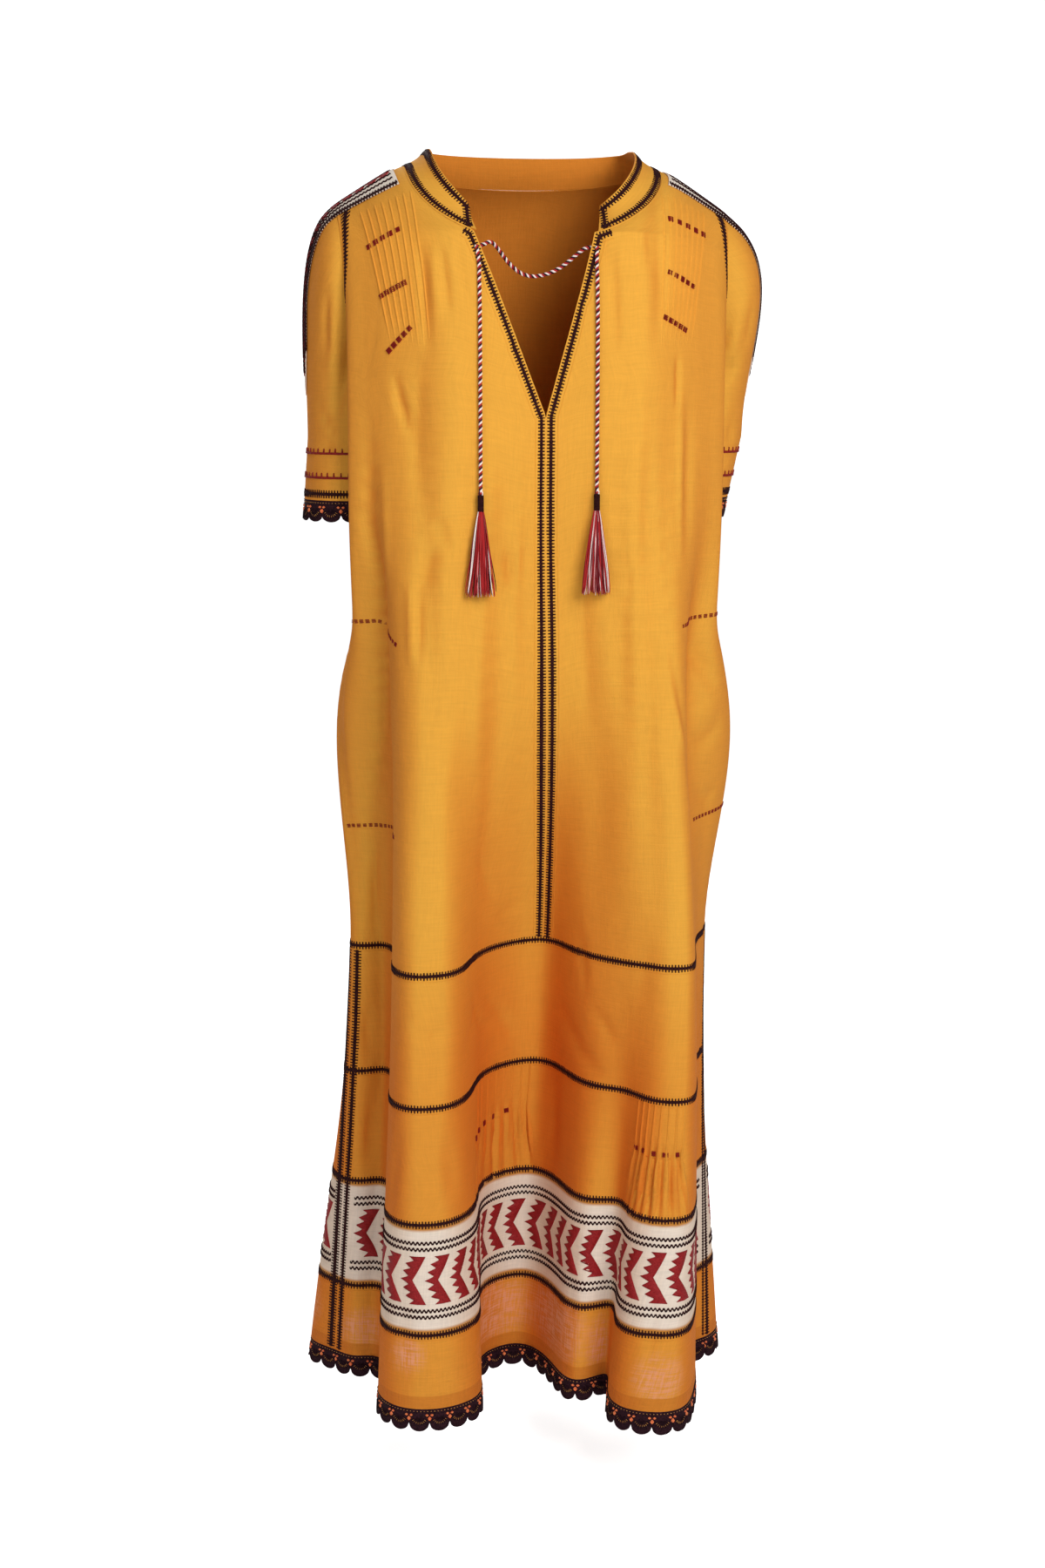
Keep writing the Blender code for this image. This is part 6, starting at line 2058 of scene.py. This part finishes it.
# %% Pleats of the skirt
pleats = []
for start, end in SKIRT_TUCKS:
    middle = (start + end) / 2
    for number, place in enumerate(np.linspace(start, end, TUCKS)):
        heights = np.linspace(BAND_TWO - .004, BAND_THREE + .006, 50)
        fan = np.clip((SKIRT_TUCK_FOOT - heights) / (SKIRT_TUCK_FOOT - BAND_THREE), 0, 1)
        places = middle + (place - middle) * (1 + PLEAT_SPREAD * fan)
        line = Line(body, places, heights - CHEST, 0.003)
        opened = np.interp(line.marks / line.length, np.linspace(0, 1, 50), fan)
        long = .45 + .55 * ((number * 5 + 3) % 8) / 8
        fade = np.clip((long - opened) / .35, 0.04, 1)
        tall = (.0013 + .0016 * np.clip(opened * 4, 0, 1)) * fade
        halves = .0017 + .0026 * np.clip(opened * 2, 0, 1)
        pleats.append(ridge(line, halves, tall))
ridge_piece("skirt_pleats", pleats)
print("pleats:", len(pleats))

# %% [markdown]
# ## Edge lines beside the seams
#
# Beside the slit, the collar's foot, three skirt seams and each row of squares runs a fine raised
# line, where cloth is caught down underneath. A thin roll of cloth closes each armhole.

# %% Edge lines
EDGE_HALF = 0.0007
EDGE_RISE = 0.0005
ARMHOLE_ROLL = 0.0019
# painted shade on the armhole rolls
ROLL_SHADE = 0.35
SLIT_RIDGE_ASIDE = 0.0068
RIDGE_DROP = 0.0058
SQUARE_RIDGE_ASIDE = -0.0042
edge_lines = []


def beside(line, across):
    """Give a fine ridge beside a line."""
    shifted = Line(line.cloth, line.us + across * line.side_u, line.vs + across * line.side_v, 0.004)
    return ridge(shifted, EDGE_HALF, EDGE_RISE)


for side in (-1, 1):
    edge_lines.append(beside(slit_lines[side], side * (BESIDE_CENTRE + SLIT_RIDGE_ASIDE)))
for height in (BAND_ONE, BAND_TWO, BAND_FOUR):
    edge_lines.append(beside(ring_line(height - RIDGE_DROP, 0.02, RIGHT_SEAM), 0.0))
    edge_lines.append(beside(ring_line(height - RIDGE_DROP, RIGHT_SEAM, ROUND - 0.02), 0.0))
edge_lines.append(beside(collar_foot, RIDGE_DROP))
edge_lines += [beside(row[0], SQUARE_RIDGE_ASIDE) for row in square_rows]
ridge_piece("edge_lines", edge_lines)
rolls = []
for name in SLEEVES:
    edge = armhole_edge(SLEEVES[name]["side"])[0]
    points, faces = tube(smooth_line(edge[::3], 0.004), ARMHOLE_ROLL, 8)
    # the rolls carry a fixed painted shade
    rolls.append((points, faces, np.full(len(points), ROLL_SHADE)))
ridge_piece("armhole_rolls", rolls)
print("edge lines:", len(edge_lines))

# %% [markdown]
# ## Tassels
#
# A tassel is a bundle of yarn ends, folded over a loop and bound below it. The binding is dark thread
# wound round and round. The strands start as one straight flat row of fringe from the same repeating
# tree, and are then gathered under the binding: each gets its own direction, wave and length.

# %% Tassels
TASSEL_HEAD = 0.018
TASSEL_RADIUS = 0.0033
TASSEL_LENGTH = 0.1035
TASSEL_SPREAD = 0.0160
TASSEL_FLAT = 0.50
WRAP_PITCH = 0.0009
STRANDS = 130
STRAND_STEPS = 13
STRAND_PITCH = 0.01
LOOP_RADIUS = 0.0007
# Columns: share of the strands up to this colour, colour
YARN_MIX = (
    (.46, RED_YARN), (.66, PALE_YARN), (.74, PINK_YARN), (.9, seen(120, 24, 34)), (1.0, DARK_YARN),
)


def strand_form():
    """Make one straight strand of fringe, hanging from the origin, 1 m long for later scaling."""
    line = np.zeros((STRAND_STEPS, 3))
    line[:, 2] = -np.linspace(0, 1, STRAND_STEPS)
    radii = np.full(STRAND_STEPS, 0.00048)
    radii[-1] = 0.0003
    return tube(line, radii, 5)


def tassel(side_name, top, seed):
    """Make one tassel below a point."""
    chance = np.random.default_rng(seed)
    fringe = repeated(f"fringe_{side_name}", strand_form(), STRANDS, STRAND_PITCH, tie_yarn)
    flat = read_points(fringe.data).reshape(STRANDS, -1, 3)
    colours = np.empty((STRANDS, flat.shape[1], 4))
    root = top[2] - TASSEL_HEAD + 0.002
    for number in range(STRANDS):
        turn = chance.random() * math.tau
        out = math.sqrt(chance.random())
        x, y = math.cos(turn) * out, math.sin(turn) * out
        down = -flat[number, :, 2]
        length = (TASSEL_LENGTH - TASSEL_HEAD) * (0.93 + 0.07 * chance.random())
        wide = TASSEL_RADIUS * 0.8 + (TASSEL_SPREAD - TASSEL_RADIUS) * down ** 0.85
        wave = np.sin(down * (4 + 3 * chance.random()) + chance.random() * 6) * 0.0011 * down
        thin = flat[number, :, :2] - np.array([number * STRAND_PITCH, 0.0])
        flat[number, :, 0] = top[0] + x * wide + wave + thin[:, 0]
        flat[number, :, 1] = top[1] + y * (TASSEL_RADIUS * 0.8 + wide * TASSEL_FLAT - TASSEL_RADIUS * 0.4)
        flat[number, :, 1] += thin[:, 1] + wave * 0.5
        flat[number, :, 2] = root - down * length
        pick = chance.random()
        colours[number] = next(colour for limit, colour in YARN_MIX if pick < limit)
    fringe.data.vertices.foreach_set("co", flat.ravel())
    yarn_marks(fringe.data, colours)
    fringe.data.shade_smooth()
    fringe.data.update()
    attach(fringe, "root")
    heights = np.linspace(0, -TASSEL_HEAD, 90)
    wrap_line = np.column_stack([np.full(90, top[0]), np.full(90, top[1]), top[2] + heights])
    ends = np.clip(np.minimum(-heights, TASSEL_HEAD + heights) / .0012, 0.25, 1)
    wraps = TASSEL_RADIUS * (0.94 + 0.06 * np.cos(heights / WRAP_PITCH * math.tau)) * np.sqrt(ends)
    binding = make_piece(f"binding_{side_name}", *tube(wrap_line, wraps, 16), black_thread)
    loops = []
    turns = np.linspace(0, math.tau * 0.98, 22)
    for lean in (-0.5, 0.0, 0.5):
        loops.append(np.column_stack([
            top[0] + np.cos(turns) * .0019 * math.cos(lean),
            top[1] + np.cos(turns) * .0019 * math.sin(lean) - .0006,
            top[2] + .0008 + np.sin(turns) * .0026,
        ]))
    knot = yarn_piece(f"knot_{side_name}", loops, (PALE_YARN, RED_YARN, DARK_YARN), LOOP_RADIUS)
    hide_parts(f"tassel_{side_name}")


for side_name, seed in (("left", 5), ("right", 8)):
    tassel(side_name, np.array(TIE_ROUTES[f"tie_cord_{side_name}"][-1]), seed)
print("strands in each tassel:", STRANDS)

# %% [markdown]
# ## A plain studio
#
# The dress is shown over a wide pale floor under an evenly white surrounding, so it can be looked at
# from any side. The floor and the surrounding look white to the eye of the camera, but light the cloth
# only weakly. One large soft light stands in front and above, a weak one fills the left, and a third
# lights the back. Light mostly from the front keeps the folds gentle and lets the sides go deep.

# %% Stage and light
FLOOR = -1.40
FLOOR_HALF = 30.0
AMBIENT = 0.30
PALE = 0.76


def to_the_eye(tree):
    """Give the signal that is 1 for what the camera sees directly, and 0 for light that bounces."""
    return tree.nodes.new("ShaderNodeLightPath").outputs["Is Camera Ray"]


def pale_floor():
    """Make the floor."""
    corners = [(-1, -1), (1, -1), (1, 1), (-1, 1)]
    mesh = bpy.data.meshes.new("floor")
    mesh.from_pydata([(x * FLOOR_HALF, y * FLOOR_HALF, FLOOR) for x, y in corners], [], [(0, 1, 2, 3)])
    pale = Finish("pale floor", 0.9)
    grain = pale.noise(pale.own_place(), 60.0, 2.0)
    pale.painted(pale.mixed(grain, (0.88, 0.88, 0.88, 1), (0.91, 0.91, 0.91, 1)))
    glow = pale.mixed(Signal(pale, to_the_eye(pale.tree)), (0, 0, 0, 1), (1, 1, 1, 1))
    pale.tree.links.new(glow.socket, pale.shader.inputs["Emission Color"])
    pale.shader.inputs["Emission Strength"].default_value = PALE
    mesh.materials.append(pale.material)
    placed("floor", mesh)


def soft_light(name, place, aim, size, power):
    """Add one square soft light that faces a point."""
    data = bpy.data.lights.new(name, "AREA")
    data.shape = "SQUARE"
    data.size = size
    data.energy = power
    made = placed(name, data)
    made.location = place
    made.rotation_euler = (Vector(aim) - Vector(place)).to_track_quat("-Z", "Y").to_euler()
    made.visible_camera = False


pale_floor()
soft_light("key", (0.60, -2.2, 0.62), (0, 0, -0.50), 1.1, 45)
soft_light("fill_left", (-1.9, -1.7, 0.2), (0, 0, -0.6), 1.4, 9)
soft_light("back_light", (-0.7, 2.3, 0.9), (0, 0, -0.5), 1.4, 36)
world = bpy.data.worlds.new("studio")
bpy.context.scene.world = world
world.use_nodes = True
surround = world.node_tree.nodes["Background"]
surround.inputs["Color"].default_value = (1.0, 1.0, 1.0, 1.0)
brighter = world.node_tree.nodes.new("ShaderNodeMath")
brighter.operation = "ADD"
brighter.inputs[1].default_value = AMBIENT
world.node_tree.links.new(to_the_eye(world.node_tree), brighter.inputs[0])
world.node_tree.links.new(brighter.outputs[0], surround.inputs["Strength"])
bpy.context.scene.view_settings.view_transform = "Standard"
